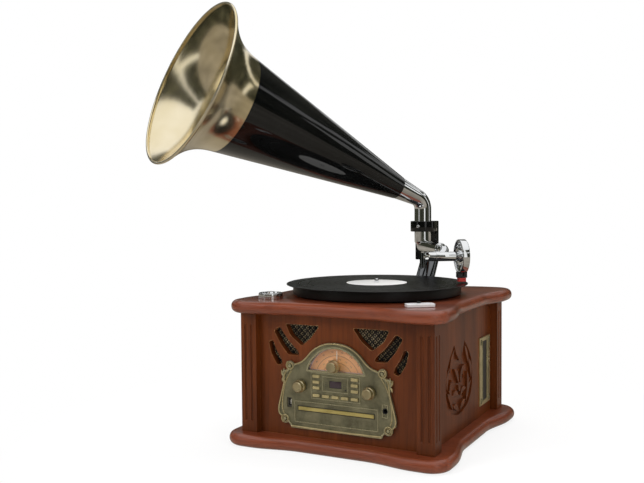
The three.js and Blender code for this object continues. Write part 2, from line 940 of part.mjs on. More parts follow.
// A raised line along an outline of the face plate.
function border(points, width = borderWidth, height = borderHeight) {
  const shape = polygon(points);
  shape.holes.push(new THREE.Path(inset(points, width).map(([x, z]) => new THREE.Vector2(x, z))));
  return upright(shape, plateFrontY - height, plateFrontY + plateSheet / 2);
}

// A rectangle round a middle, or between two heights.
function frameRound(x, z, halfWidth, halfHeight) {
  return rectangle(halfWidth, z - halfHeight, z + halfHeight, x);
}

const buttonPlaces = [
  ...buttonColumnZs.map((z, i) => [`button_left_${i + 1}`, -buttonColumnX, z]),
  ...buttonColumnZs.map((z, i) => [`button_right_${i + 1}`, buttonColumnX, z]),
  ...buttonRowXs.map((x, i) => [`button_row_${i + 1}`, x, buttonRowZ]),
];

// The face plate with all its windows, and its raised rim, borders and scrolls.
function facePlate() {
  const [crown, ...half] = placed(plateHalfShares, plateHalfWidth, plateBottomZ, plateHeight);
  const outline = [crown, ...mirrorPoints(half).reverse(), ...half.reverse()];
  const behind = panelFrontY + cutOverrun;
  const ahead = plateRimY - cutOverrun;
  const eyeY = plateRimY - plateEyeHeight;
  const scrollHalf = placed(
    [upperScrollShares, lowerScrollShares],
    plateHalfWidth,
    plateBottomZ,
    plateHeight,
  );
  const scrollPlaces = [...scrollHalf, ...mirrorPoints(scrollHalf)];
  const scrolls = scrollPlaces.flatMap(([x, z]) => [
    barY(scrollRadius, x, z, plateRimY, panelFrontY, scrollSides),
    barY(scrollEyeRadius, x, z, eyeY, panelFrontY, pillarSides),
  ]);
  const dishes = scrollPlaces.map(([x, z]) => {
    const dish = barY(scrollRadius - plateRimWidth / 2, x, z, ahead, plateFrontY, scrollSides);
    return cut(dish, barY(scrollEyeRadius, x, z, ahead - cutOverrun, behind, pillarSides));
  });
  const dialFrame = upright(
    halfRound(dialWindowRadius + dialFrameWidth, dialWindowFloorZ - dialFrameWidth, dialSteps),
    plateFrontY - borderHeight,
    panelFrontY,
  );
  const raised = join(
    upright(polygon(outline), plateFrontY, panelFrontY),
    border(outline, plateRimWidth, plateRimHeight),
    ...scrolls,
    dialFrame,
    border(rectangle(keypadHalfWidth, buttonRowZ - keypadMargin, buttonTopZ + keypadMargin)),
    border(frameRound(0, displayZ, displayFrameHalfWidth, displayFrameHalfHeight)),
    border(rectangle(drawerBorderHalf, drawerBorderFloorZ, drawerBorderFloorZ + drawerBorderHeight)),
    border(frameRound(jackX, jackZ, jackFrameHalfWidth, jackFrameHalfHeight)),
  );
  const window = (points) => upright(polygon(points), ahead, behind);
  const drawerTopZ = drawerFloorZ + drawerHeight;
  const windows = [
    upright(halfRound(dialWindowRadius, dialWindowFloorZ, dialSteps), ahead, behind),
    window(frameRound(0, displayZ, displayHalfWidth + fitGap, displayHalfHeight + fitGap)),
    window(rectangle(drawerHalfWidth + runGap, drawerFloorZ - runGap, drawerTopZ + runGap)),
    window(frameRound(usbX, usbZ, usbWidth / 2, usbHeight / 2)),
    barY(jackNoseRadius + fitGap, jackX, jackZ, ahead, behind, jackSides),
    barY(shaftRadius + runGap, -sideKnobX, sideKnobZ, ahead, behind, pillarSides),
    barY(shaftRadius + runGap, sideKnobX, sideKnobZ, ahead, behind, pillarSides),
    ...buttonPlaces.map(([, x, z]) =>
      window(frameRound(x, z, buttonWidth / 2 + fitGap, buttonHeight / 2 + fitGap)),
    ),
  ];
  add("face_plate", cut(raised, ...dishes, ...windows), brass);
}

// The dial behind the face plate: lens in front, then the space for the pointer, then the printed tray.
const lensBackY = panelFrontY + lensThickness;
const trayFloorY = lensBackY + dialCavity;
const trayBackY = trayFloorY + dialTrayFloor;

function dial() {
  const lensRadius = dialWindowRadius + dialOverlap;
  const lensFloorZ = dialWindowFloorZ - dialOverlap;
  const shaftHole = (y0, y1) => barY(shaftRadius + runGap, 0, tuningZ, y0, y1, pillarSides);
  const lens = upright(halfRound(lensRadius, lensFloorZ, dialSteps), panelFrontY, lensBackY);
  add("dial_lens", cut(lens, shaftHole(panelFrontY - cutOverrun, lensBackY + cutOverrun)), clearPlastic);
  const tray = upright(halfRound(lensRadius, lensFloorZ, dialSteps), lensBackY, trayBackY);
  const cavity = upright(
    halfRound(lensRadius - dialTrayRim, lensFloorZ + dialTrayRim, dialSteps),
    lensBackY - cutOverrun,
    trayFloorY,
  );
  add("dial_scale", cut(tray, cavity, shaftHole(lensBackY, trayBackY + cutOverrun)), dialPaper);
}

// Control board: circuit board, pillars to the face plate, three rotary controls, switches and display.
function controlBoard() {
  const circuitBack = circuitY + circuitThickness;
  const pots = [
    [0, tuningZ],
    [-sideKnobX, sideKnobZ],
    [sideKnobX, sideKnobZ],
  ].map(([x, z]) => barY(potRadius, x, z, circuitY - potDepth, circuitBack, potSides));
  const pillarX = controlHalfWidth - pillarInset;
  const grilleFootZ = Math.min(...cutouts.flat().map(([, z]) => z)) - grilleMargin;
  const pillarTopZ = grilleFootZ - pillarRadius - pillarGap;
  const pillars = [controlFloorZ + pillarInset, pillarTopZ].flatMap((z) => [
    barY(pillarRadius, -pillarX, z, panelFrontY, circuitBack, pillarSides),
    barY(pillarRadius, pillarX, z, panelFrontY, circuitBack, pillarSides),
  ]);
  const switches = buttonPlaces.map(([, x, z]) =>
    block(
      [x - switchSize / 2, circuitY - switchDepth, z - switchSize / 2],
      [x + switchSize / 2, circuitBack, z + switchSize / 2],
    ),
  );
  const body = join(
    block([-controlHalfWidth, circuitY, controlFloorZ], [controlHalfWidth, circuitBack, controlTopZ]),
    block(
      [-controlTabHalf, circuitY, controlFloorZ],
      [controlTabHalf, circuitBack, tuningZ + controlTabMargin],
    ),
    block(
      [-displayHalfWidth, plateFrontY + borderHeight, displayZ - displayHalfHeight],
      [displayHalfWidth, circuitBack, displayZ + displayHalfHeight],
    ),
    ...pots,
    ...pillars,
    ...switches,
  );
  add("control_board", body, circuitGreen);
}

// A turned knob with its shaft, facing the front.
function knobBody(x, z) {
  const back = plateRimY - knobStandOff;
  const front = back - knobDepth;
  const profile = [
    [0, 0],
    [knobTopRadius - knobGroove, 0],
    [knobTopRadius, knobGroove],
    [knobTopRadius, knobDepth / 2],
    [knobRadius, knobDepth / 2 + knobGroove],
    [knobRadius, knobDepth],
    [0, knobDepth],
  ];
  const points = profile.map(([r, y]) => new THREE.Vector2(r, y));
  const body = new THREE.LatheGeometry(points, knobSides).translate(x, front, z);
  const shaftEnd = circuitY - potDepth - fitGap;
  return join(body, barY(shaftRadius, x, z, back - knobDepth / 2, shaftEnd, pillarSides));
}

function knobs() {
  add("volume_knob", knobBody(-sideKnobX, sideKnobZ), brightBrass);
  add("function_knob", knobBody(sideKnobX, sideKnobZ), brightBrass);
  const pointerY = (lensBackY + trayFloorY) / 2;
  const pointer = block(
    [-pointerWidth / 2, pointerY - pointerThickness / 2, tuningZ],
    [pointerWidth / 2, pointerY + pointerThickness / 2, tuningZ + pointerLength],
  );
  add("tuning_knob", join(knobBody(0, tuningZ), pointer), brightBrass);
}

function buttons() {
  for (const [name, x, z] of buttonPlaces) {
    const flangeY = panelFrontY + fitGap;
    const halfWidth = buttonWidth / 2;
    const halfHeight = buttonHeight / 2;
    const wide = halfWidth + buttonFlangeExtra;
    const high = halfHeight + buttonFlangeExtra;
    const stemEnd = circuitY - switchDepth - buttonTravel - fitGap;
    const body = join(
      block(
        [x - halfWidth, plateFrontY - buttonProud, z - halfHeight],
        [x + halfWidth, flangeY + buttonFlange / 2, z + halfHeight],
      ),
      block([x - wide, flangeY, z - high], [x + wide, flangeY + buttonFlange, z + high]),
      block(
        [x - buttonStem / 2, flangeY, z - buttonStem / 2],
        [x + buttonStem / 2, stemEnd, z + buttonStem / 2],
      ),
    );
    add(name, body, brass);
  }
}

// Disc drawer in its mechanism, which stands on the plinth.
function discPlayer() {
  const frontY = plateFrontY - drawerProud;
  const barBackY = frontY + drawerFrontDepth;
  const trayFloorZ = drawerFloorZ + (drawerHeight - trayThickness) / 2;
  const trayTopZ = trayFloorZ + trayThickness;
  const discY = barBackY + discMargin + discRadius;
  const trayEnd = discY + discRadius + trayTail;
  const bar = block(
    [-drawerHalfWidth, frontY, drawerFloorZ],
    [drawerHalfWidth, barBackY, drawerFloorZ + drawerHeight],
  );
  const tray = block(
    [-drawerHalfWidth, barBackY - borderWidth, trayFloorZ],
    [drawerHalfWidth, trayEnd, trayTopZ],
  );
  const pocket = barZ(discRadius, 0, discY, trayTopZ - discPocket, trayTopZ + cutOverrun, discSides);
  const hole = barZ(discHoleRadius, 0, discY, trayFloorZ - cutOverrun, trayTopZ, pulleySides);
  add("cd_drawer", cut(join(bar, tray), pocket, hole), brass);
  const boxFront = panelFrontY + mechanismFrontGap;
  const boxBack = trayEnd + mechanismBackRoom + mechanismBackWall;
  const box = block(
    [-mechanismHalfWidth, boxFront, mechanismFloorZ],
    [mechanismHalfWidth, boxBack, mechanismTopZ],
  );
  const tunnel = block(
    [-drawerHalfWidth - runGap, boxFront - cutOverrun, drawerFloorZ - runGap],
    [drawerHalfWidth + runGap, boxBack - mechanismBackWall, drawerFloorZ + drawerHeight + runGap],
  );
  const legY = panelBackY + fitGap;
  const legs = [-mechanismHalfWidth, mechanismHalfWidth - mechanismLeg].flatMap((x) =>
    [legY, boxBack - mechanismLeg].map((y) =>
      block([x, y, caseFloor], [x + mechanismLeg, y + mechanismLeg, mechanismFloorZ + borderWidth]),
    ),
  );
  add("cd_mechanism", cut(join(box, ...legs), tunnel), steel);
}

// USB socket and headphone jack beside the drawer.
function sockets() {
  const back = panelFrontY + socketDepth;
  const shell = block(
    [usbX - usbWidth / 2 - usbWall, panelFrontY, usbZ - usbHeight / 2 - usbWall],
    [usbX + usbWidth / 2 + usbWall, back, usbZ + usbHeight / 2 + usbWall],
  );
  const slot = block(
    [usbX - usbSlotWidth / 2, panelFrontY - cutOverrun, usbZ - usbSlotHeight / 2],
    [usbX + usbSlotWidth / 2, panelFrontY + usbSlotDepth, usbZ + usbSlotHeight / 2],
  );
  add("usb_socket", cut(shell, slot), steel);
  const half = jackBlock / 2;
  const jackBody = join(
    block([jackX - half, panelFrontY, jackZ - half], [jackX + half, back, jackZ + half]),
    barY(jackNoseRadius, jackX, jackZ, plateFrontY, back, jackSides),
  );
  const boreStart = plateFrontY - cutOverrun;
  const bore = barY(jackBoreRadius, jackX, jackZ, boreStart, plateFrontY + jackBoreDepth, jackSides);
  add("headphone_jack", cut(jackBody, bore), blackPlastic);
}

// A curved leaf from a root to a tip, fat in the middle and pointed at both ends.
function leaf({ root, tip, bulge, curl }, sign) {
  const [foot, point] = placed([root, tip], carvingHalfWidth, carvingFloorZ, carvingHeight);
  const width = bulge * carvingHalfWidth;
  const start = new THREE.Vector2(...foot);
  const along = new THREE.Vector2(...point).sub(start);
  const across = new THREE.Vector2(-along.y, along.x).normalize();
  const left = [];
  const right = [];
  for (let i = 0; i <= leafSteps; i++) {
    const t = i / leafSteps;
    const middle = start.clone().addScaledVector(along, t);
    middle.addScaledVector(across, curl * width * Math.sin(Math.PI * t));
    const half = (width / 2) * Math.sin(Math.PI * t) ** leafFullness;
    left.push(middle.clone().addScaledVector(across, half));
    right.unshift(middle.clone().addScaledVector(across, -half));
  }
  const points = cleanPoints([...left, ...right]);
  return polygon(sign > 0 ? points : mirrorPoints(points));
}

// A side panel with its carving; the right one has the cassette opening.
function sidePanel(name, sign) {
  const span = (a, b) => [Math.min(sign * a, sign * b), Math.max(sign * a, sign * b)];
  const [x0, x1] = span(sideInnerX, sideOuterX);
  const shifted = (points) => points.map(([y, z]) => [carvingY + y, z]);
  const half = placed(carvingHalfShares, carvingHalfWidth, carvingFloorZ, carvingHeight);
  const outline = shifted([...half, ...mirrorPoints(half.slice(1, -1))]);
  const carvingBackX = sideOuterX - carvingDepth;
  const field = sideways(polygon(outline), ...span(carvingBackX, sideOuterX + cutOverrun));
  const leaves = leafHalfShares.flatMap((row) => [leaf(row, 1), leaf(row, -1)]);
  const relief = leaves.map((shape) =>
    sideways(shape, ...span(carvingBackX - borderWidth, sideOuterX)).translate(0, carvingY, 0),
  );
  const bossZ = carvingFloorZ + bossShare * carvingHeight;
  const bossSpan = span(carvingBackX - borderWidth, sideOuterX);
  const boss = barX(bossRadius, carvingY, bossZ, ...bossSpan, bossSides);
  const piercingHalf = placed(piercingHalfShares, carvingHalfWidth, carvingFloorZ, carvingHeight);
  const piercings = shifted([...piercingHalf, ...mirrorPoints(piercingHalf)]).map(([y, z]) =>
    barX(piercingRadius, y, z, x0 - cutOverrun, x1 + cutOverrun, piercingSides),
  );
  const slab = block([x0, -postInnerY, caseFloor], [x1, postInnerY, caseTop]);
  const carved = join(cut(slab, field, ...piercings), ...relief, boss);
  const opening = block(
    [x0 - cutOverrun, cassetteY - slotHalfWidth, cassetteZ - slotHalfHeight],
    [x1 + cutOverrun, cassetteY + slotHalfWidth, cassetteZ + slotHalfHeight],
  );
  add(name, sign > 0 ? cut(carved, opening) : carved, mahogany);
}

// Cassette slot: bezel on the side panel, sprung flap in it, and the mechanism behind.
function cassetteDeck() {
  const bezel = block(
    [sideOuterX, cassetteY - bezelHalfWidth, cassetteZ - bezelHalfHeight],
    [sideOuterX + bezelProud, cassetteY + bezelHalfWidth, cassetteZ + bezelHalfHeight],
  );
  const opening = block(
    [sideOuterX - cutOverrun, cassetteY - slotHalfWidth, cassetteZ - slotHalfHeight],
    [sideOuterX + bezelProud + cutOverrun, cassetteY + slotHalfWidth, cassetteZ + slotHalfHeight],
  );
  add("cassette_bezel", cut(bezel, opening), brass);
  const flapOuterX = sideOuterX + bezelProud - flapSetBack;
  const flapHalfWidth = slotHalfWidth - runGap;
  const flapHalfHeight = slotHalfHeight - runGap;
  const flap = block(
    [flapOuterX - flapThickness, cassetteY - flapHalfWidth, cassetteZ - flapHalfHeight],
    [flapOuterX, cassetteY + flapHalfWidth, cassetteZ + flapHalfHeight],
  );
  add("cassette_flap", flap, blackPlastic);
  const boxInnerX = sideInnerX - deckBoxDepth;
  const box = block(
    [boxInnerX, cassetteY - deckBoxHalfWidth, cassetteZ - deckBoxHalfHeight],
    [sideInnerX, cassetteY + deckBoxHalfWidth, cassetteZ + deckBoxHalfHeight],
  );
  const slot = block(
    [sideInnerX - deckSlotDepth, cassetteY - slotHalfWidth, cassetteZ - slotHalfHeight],
    [sideInnerX + cutOverrun, cassetteY + slotHalfWidth, cassetteZ + slotHalfHeight],
  );
  add("cassette_mechanism", cut(box, slot), steel);
}

// Power supply: a board on stands with a transformer and a smoothing capacitor.
function powerSupply() {
  const floor = caseFloor + supplyLift;
  const top = floor + circuitThickness;
  const standX = supplyHalfWidth - pillarInset;
  const standY = supplyHalfDepth - pillarInset;
  const stands = [-standX, standX].flatMap((x) =>
    [-standY, standY].map((y) =>
      barZ(pillarRadius, supplyX + x, supplyY + y, caseFloor, top, pillarSides),
    ),
  );
  const transformerX = supplyX - supplyHalfWidth + transformerInset + transformerWidth / 2;
  const body = join(
    block(
      [supplyX - supplyHalfWidth, supplyY - supplyHalfDepth, floor],
      [supplyX + supplyHalfWidth, supplyY + supplyHalfDepth, top],
    ),
    block(
      [transformerX - transformerWidth / 2, supplyY - transformerDepth / 2, floor],
      [transformerX + transformerWidth / 2, supplyY + transformerDepth / 2, top + transformerHeight],
    ),
    barZ(smoothingRadius, supplyX + supplyHalfWidth / 3, supplyY, floor, top + smoothingHeight, pulleySides),
    ...stands,
  );
  add("power_supply", body, circuitGreen);
}

// Back panel with its vents and the mains inlet.
function backPanel() {
  const front = rearInnerY - cutOverrun;
  const back = rearOuterY + cutOverrun;
  const inletHole = block(
    [inletX - inletHalfWidth - fitGap, front, inletZ - inletHalfHeight - fitGap],
    [inletX + inletHalfWidth + fitGap, back, inletZ + inletHalfHeight + fitGap],
  );
  const vents = [];
  for (let i = 0; i < ventCount; i++) {
    const x = (i - (ventCount - 1) / 2) * ventPitch;
    const foot = [x - ventHalfWidth, front, ventZ - ventHalfHeight];
    vents.push(block(foot, [x + ventHalfWidth, back, ventZ + ventHalfHeight]));
  }
  const body = block([-postInnerX, rearInnerY, caseFloor], [postInnerX, rearOuterY, caseTop]);
  add("back_panel", cut(body, inletHole, ...vents), fibreboard);
  const shell = join(
    block(
      [inletX - inletHalfWidth, rearOuterY - inletDepth, inletZ - inletHalfHeight],
      [inletX + inletHalfWidth, rearOuterY + inletProud, inletZ + inletHalfHeight],
    ),
    block(
      [inletX - inletHalfWidth - inletFlange, rearOuterY, inletZ - inletHalfHeight - inletFlange],
      [
        inletX + inletHalfWidth + inletFlange,
        rearOuterY + inletProud,
        inletZ + inletHalfHeight + inletFlange,
      ],
    ),
  );
  const pocket = block(
    [
      inletX - inletHalfWidth + inletWall,
      rearOuterY + inletProud - inletPocket,
      inletZ - inletHalfHeight + inletWall,
    ],
    [
      inletX + inletHalfWidth - inletWall,
      rearOuterY + inletProud + cutOverrun,
      inletZ + inletHalfHeight - inletWall,
    ],
  );
  add("mains_inlet", cut(shell, pocket), blackPlastic);
}

// Platter with its spindle and belt rim in a flanged bearing, and the record on it.
function turntable() {
  const profile = [
    [0, spindleBottomZ],
    [spindleRadius, spindleBottomZ],
    [spindleRadius, hubZ],
    [hubRadius, hubZ],
    [hubRadius, platterWebZ],
    [beltRimRadius - beltRimWidth, platterWebZ],
    [beltRimRadius - beltRimWidth, beltRimZ],
    [beltRimRadius, beltRimZ],
    [beltRimRadius, platterWebZ],
    [platterRadius - platterRimWidth, platterWebZ],
    [platterRadius - platterRimWidth, rimZ],
    [platterRadius, rimZ],
    [platterRadius, platterTopZ],
    [spindleRadius, platterTopZ],
    [spindleRadius, platterTopZ + spindleTip - spindleCone],
    [spindleRadius - spindleCone, platterTopZ + spindleTip],
    [0, platterTopZ + spindleTip],
  ];
  const platter = turned(profile, platterSides).translate(spindleX, spindleY, 0);
  add("platter", platter, blackPlastic);

  const flangeZ = caseTop - bearingFlange;
  const bearing = turned(
    closedProfile([
      [spindleRadius + fitGap, flangeZ],
      [bearingFlangeRadius, flangeZ],
      [bearingFlangeRadius, caseTop],
      [bearingRadius, caseTop],
      [bearingRadius, bearingTopZ],
      [spindleRadius + fitGap, bearingTopZ],
    ]),
    bearingSides,
  );
  add("platter_bearing", bearing.translate(spindleX, spindleY, 0), steel);

  const disc = turned(
    closedProfile([
      [spindleRadius + fitGap, platterTopZ],
      [recordRadius - recordEdge, platterTopZ],
      [recordRadius, platterTopZ + recordEdge],
      [recordRadius, recordTopZ - recordEdge],
      [recordRadius - recordEdge, recordTopZ],
      [labelRadius, recordTopZ],
      [labelRadius, recordTopZ + labelRise],
      [spindleRadius + fitGap, recordTopZ + labelRise],
    ]),
    recordSides,
  );
  add("record", disc.translate(spindleX, spindleY, 0), vinyl);
}

// Motor under the deck, its pulley, and the belt to the platter's inner rim.
function beltDrive() {
  add(
    "platter_motor",
    barZ(motorRadius, motorX, motorY, caseTop - motorHeight, caseTop, motorSides),
    steel,
  );
  const beltZ = beltRimZ + (beltRimDrop - beltHeight) / 2;
  const pulleyZ = beltZ + beltHeight / 2 - pulleyHeight / 2;
  const pulley = join(
    barZ(motorShaftRadius, motorX, motorY, caseTop + fitGap, pulleyZ + pulleyHeight / 2, pillarSides),
    barZ(pulleyRadius, motorX, motorY, pulleyZ, pulleyZ + pulleyHeight, pulleySides),
  );
  add("motor_pulley", pulley, brightBrass);

  // The belt bends round both rims and runs straight between the points where it leaves them.
  const loop = (extra) => {
    const big = beltRimRadius + fitGap + extra;
    const small = pulleyRadius + fitGap + extra;
    const lean = Math.acos((big - small) / motorDistance);
    const points = [];
    for (let i = 0; i <= beltArcSteps; i++) {
      const a = between(lean, 2 * Math.PI - lean, i / beltArcSteps);
      points.push([big * Math.cos(a), big * Math.sin(a)]);
    }
    for (let i = 0; i <= pillarSides; i++) {
      const a = between(-lean, lean, i / pillarSides);
      points.push([motorDistance + small * Math.cos(a), small * Math.sin(a)]);
    }
    return points;
  };
  const shape = polygon(loop(beltThickness));
  shape.holes.push(new THREE.Path(loop(0).map(([x, y]) => new THREE.Vector2(x, y))));
  const belt = new THREE.ExtrudeGeometry(shape, { depth: beltHeight, bevelEnabled: false });
  belt.rotateZ(motorAngle).translate(spindleX, spindleY, beltZ);
  add("drive_belt", belt, rubber);
}

// Speed switch: a bar with a groove that its slider runs in.
function speedSwitch() {
  const turn = new THREE.Group();
  turn.position.set(topHalfWidth - switchInsetX, switchInsetY - topHalfDepth, deckTop + fitGap);
  turn.rotation.z = THREE.MathUtils.degToRad(switchTurn);
  group.add(turn);
  const grooveY = switchBarDepth / 2 - switchGrooveBack;
  const bar = block(
    [-switchBarLength / 2, -switchBarDepth / 2, 0],
    [switchBarLength / 2, switchBarDepth / 2, switchBarHeight],
  );
  const groove = block(
    [-switchGrooveLength / 2, grooveY - switchGrooveWidth / 2, switchBarHeight - switchGrooveDepth],
    [switchGrooveLength / 2, grooveY + switchGrooveWidth / 2, switchBarHeight + cutOverrun],
  );
  add("speed_switch", cut(bar, groove), chrome, turn);
  const slider = join(
    block(
      [
        -sliderLength / 2,
        grooveY - switchGrooveWidth / 2 + fitGap,
        switchBarHeight - switchGrooveDepth + fitGap,
      ],
      [
        sliderLength / 2,
        grooveY + switchGrooveWidth / 2 - fitGap,
        switchBarHeight + sliderRise,
      ],
    ),
    block(
      [-sliderLength / 2, grooveY - sliderWidth / 2, switchBarHeight + fitGap],
      [sliderLength / 2, grooveY + sliderWidth / 2, switchBarHeight + sliderRise],
    ),
  );
  add("speed_slider", slider, blackPlastic, turn);
}

// Centre adaptor, loose in its seat.
function adaptor() {
  const bottom = deckTop - adaptorSeatDepth + fitGap;
  const top = bottom + adaptorHeight;
  const body = turned(
    closedProfile([
      [spindleRadius + fitGap, bottom],
      [adaptorRadius, bottom],
      [adaptorRadius, top - adaptorDish / 2],
      [adaptorRadius - adaptorDish / 2, top],
      [adaptorRadius - adaptorRimWidth, top],
      [adaptorRadius - adaptorRimWidth - adaptorDish, top - adaptorDish],
      [adaptorBossRadius + adaptorDish, top - adaptorDish],
      [adaptorBossRadius, top + adaptorBossRise],
      [spindleRadius + fitGap, top + adaptorBossRise],
    ]),
    adaptorSides,
  );
  add("adaptor_45", body.translate(adaptorX, adaptorY, 0), chrome);
}

// Bracket that holds the arm and the horn on one upright axis.
function bracket() {
  const height = columnTopZ - deckTop;
  const lean = (columnTopBack + columnFootForward) / height;
  const column = barZ(columnBottomRadius, 0, 0, 0, height, columnSides, columnTopRadius);
  column.applyMatrix4(new THREE.Matrix4().makeShear(0, 0, 0, 0, 0, lean));
  column.translate(pivotX + columnAside, pivotY - columnFootForward, deckTop);
  const bossFloorZ = pivotBossZ - bossPivotHeight;
  const boss = barZ(bossPivotRadius, pivotX, pivotY, bossFloorZ, pivotBossZ, pipeSides);
  const socketFloorZ = pivotBossZ - pinDepth - fitGap;
  const socket = barZ(pinRadius + fitGap, pivotX, pivotY, socketFloorZ, armZ, pipeSides);
  add("bracket_column", cut(join(column, boss), socket), chrome);

  const barFrontY = pivotY + barBack;
  const frame = join(
    block(
      [pivotX - barHalfWidth, barFrontY, columnTopZ],
      [pivotX + barHalfWidth, barFrontY + barThickness, ringTopZ],
    ),
    block(
      [pivotX - barHalfWidth, pivotY, ringBottomZ],
      [pivotX + barHalfWidth, barFrontY + borderWidth, ringTopZ],
    ),
    barZ(ringOuterRadius, pivotX, pivotY, ringBottomZ, ringTopZ, pipeSides),
  );
  const boreFloorZ = ringBottomZ - cutOverrun;
  const ringBore = barZ(pipeRadius + runGap, pivotX, pivotY, boreFloorZ, ringTopZ + cutOverrun, pipeSides);
  const screwY = pivotY - ringOuterRadius;
  const screwHead = screwY - clampScrewHead;
  const screwEnd = screwY + clampScrewHead;
  const screw = barY(clampScrewRadius, pivotX, pipeJointZ, screwHead, screwEnd, pillarSides);
  add("bracket_arm", cut(join(frame, screw), ringBore), blackPlastic);
}

// Middle line of the gooseneck: out of the arm, round to its right, back in a loop to the sound box.
function neckPoints() {
  const backX = headReach - 2 * neckTurnRadius;
  const loopY = neckBulge - neckOut;
  const faceY = headAside - soundBoxThickness / 2 - fitGap;
  const points = [new THREE.Vector3(armJointAt + fitGap, 0, 0)];
  for (let i = 0; i <= neckBendSteps; i++) {
    const share = i / neckBendSteps;
    const a = (share * Math.PI) / 2;
    const x = backX - neckTurnRadius + neckTurnRadius * Math.sin(a);
    const sink = (1 - Math.cos(share * Math.PI)) / 2;
    points.push(new THREE.Vector3(x, neckTurnRadius * (Math.cos(a) - 1), -neckDrop * sink));
  }
  for (let i = 0; i <= neckLoopSteps; i++) {
    const a = Math.PI * (1 + i / neckLoopSteps);
    const x = headReach - neckTurnRadius + neckTurnRadius * Math.cos(a);
    points.push(new THREE.Vector3(x, loopY + neckBulge * Math.sin(a), -neckDrop));
  }
  points.push(new THREE.Vector3(headReach, faceY, -neckDrop));
  return points;
}

// A round tube or bar bent along a row of points.
function swept(radius, points, steps, sides) {
  const section = new THREE.Shape();
  section.absarc(0, 0, radius, 0, 2 * Math.PI);
  const ring = polygon(cleanPoints(section.getPoints(sides / 2)));
  const path = new THREE.CatmullRomCurve3(points, false, "centripetal");
  return new THREE.ExtrudeGeometry(ring, { steps, extrudePath: path });
}

// Tone arm: a stub in the clamp ring and on the pivot pin, with the arm out over the record.
function toneArm() {
  const arm = new THREE.Group();
  arm.position.set(pivotX, pivotY, armZ);
  arm.rotation.z = THREE.MathUtils.degToRad(armTurn);
  group.add(arm);
  const stubTop = pipeJointZ - fitGap / 2 - armZ;
  const pinBottom = pivotBossZ - pinDepth - armZ;
  const taper = new THREE.CylinderGeometry(armEndRadius, armStartRadius, armJointAt, pipeSides);
  taper.rotateZ(-Math.PI / 2).translate(armJointAt / 2, 0, 0);
  const socketAt = armJointAt - spigotLength;
  const socket = barX(spigotRadius + fitGap, 0, 0, socketAt, armJointAt + cutOverrun, neckSides);
  const tube = cut(
    join(
      barZ(pipeRadius, 0, 0, armShoulder, stubTop, pipeSides),
      barZ(armBallRadius, 0, 0, 0, armShoulder, pipeSides, pipeRadius),
      new THREE.SphereGeometry(armBallRadius, pipeSides, pipeSides / 2).rotateX(Math.PI / 2),
      barZ(pinRadius, 0, 0, pinBottom, 0, pipeSides),
      taper,
    ),
    socket,
  );
  add("tonearm_tube", tube, chrome, arm);

  const jointX = armJointAt + fitGap;
  const gooseneck = join(
    swept(neckRadius, neckPoints(), neckSteps, neckSides),
    barX(armEndRadius + collarExtra, 0, 0, jointX, jointX + collarLength, pipeSides),
    barX(spigotRadius, 0, 0, socketAt + fitGap, jointX + collarLength, neckSides),
  );
  add("gooseneck", gooseneck, chrome, arm);

  // The sound box and what hangs from it share a frame with X along the box's own axis.
  const head = new THREE.Group();
  head.position.set(headReach, headAside, -neckDrop);
  head.rotation.z = Math.PI / 2;
  arm.add(head);
  const half = soundBoxThickness / 2;
  const lipRadius = soundBoxRadius - soundBoxLip;
  const edgeRadius = soundBoxRadius - soundBoxEdge;
  const discProfile = [
    [0, -half + soundBoxDish],
    [lipRadius, -half + soundBoxDish],
    [lipRadius, -half],
    [edgeRadius, -half],
    [soundBoxRadius, -half + soundBoxEdge],
    [soundBoxRadius, half - soundBoxEdge],
    [edgeRadius, half],
    [lipRadius, half],
    [lipRadius, half - soundBoxDish],
    [0, half - soundBoxDish],
  ];
  const disc = turned(discProfile, soundBoxSides).rotateY(Math.PI / 2);
  const hub = barX(soundBoxHubRadius, 0, 0, -half, half, pipeSides);
  const holes = [];
  for (let i = 0; i < spokeCount; i++) {
    const a = ((i + 0.5) / spokeCount) * 2 * Math.PI;
    const r = (lipRadius + soundBoxHubRadius) / 2;
    const floor = -half + soundBoxDish + spokeHoleDepth;
    const [y, z] = [r * Math.cos(a), r * Math.sin(a)];
    holes.push(barX(spokeHoleRadius, y, z, -half - cutOverrun, floor, spokeHoleSides));
  }
  add("soundbox", cut(join(disc, hub), ...holes), chrome, head);

  // The carrier grips the rim of the sound box, and the cartridge stands beside it on the same foot.
  const stylusFloor = recordTopZ + stylusClear - headZ;
  const stylusTop = stylusFloor + stylusHeight;
  const footZ = stylusTop + fitGap;
  const gripZ = cartridgeGrip - soundBoxRadius;
  const halfWidth = cartridgeWidth / 2;
  const carrierX = cartridgeOuter - carrierThickness;
  const cartridge = cut(
    join(
      block([-cartridgeInner, -halfWidth, footZ], [cartridgeOuter, halfWidth, footZ + carrierGap]),
      block([-cartridgeInner, -halfWidth, footZ], [carrierX - carrierGap, halfWidth, gripZ]),
      block([carrierX, -halfWidth, footZ], [cartridgeOuter, halfWidth, gripZ]),
    ),
    barX(soundBoxRadius + fitGap, 0, 0, -half - fitGap, half + fitGap, soundBoxSides),
  );
  add("cartridge", cartridge, blackPlastic, head);

  const stylusX = (cartridgeOuter - cartridgeInner) / 2;
  const tipFloor = recordTopZ + fitGap - headZ;
  const stylus = join(
    block(
      [stylusX - stylusHalfLength, -stylusWidth / 2, stylusFloor],
      [stylusX + stylusHalfLength, stylusWidth / 2, stylusTop],
    ),
    barZ(stylusTip / 2, stylusX, 0, tipFloor, stylusTop, pillarSides, stylusTip),
  );
  add("stylus", stylus, redPlastic, head);
}

// Outer radius of the bell, from its joint with the cone to the mouth.
function bellRadiusAt(share) {
  const flare = bellFlareShare * share + (1 - bellFlareShare) * share ** bellFlarePower;
  return between(coneEndRadius, bellRadius, flare);
}

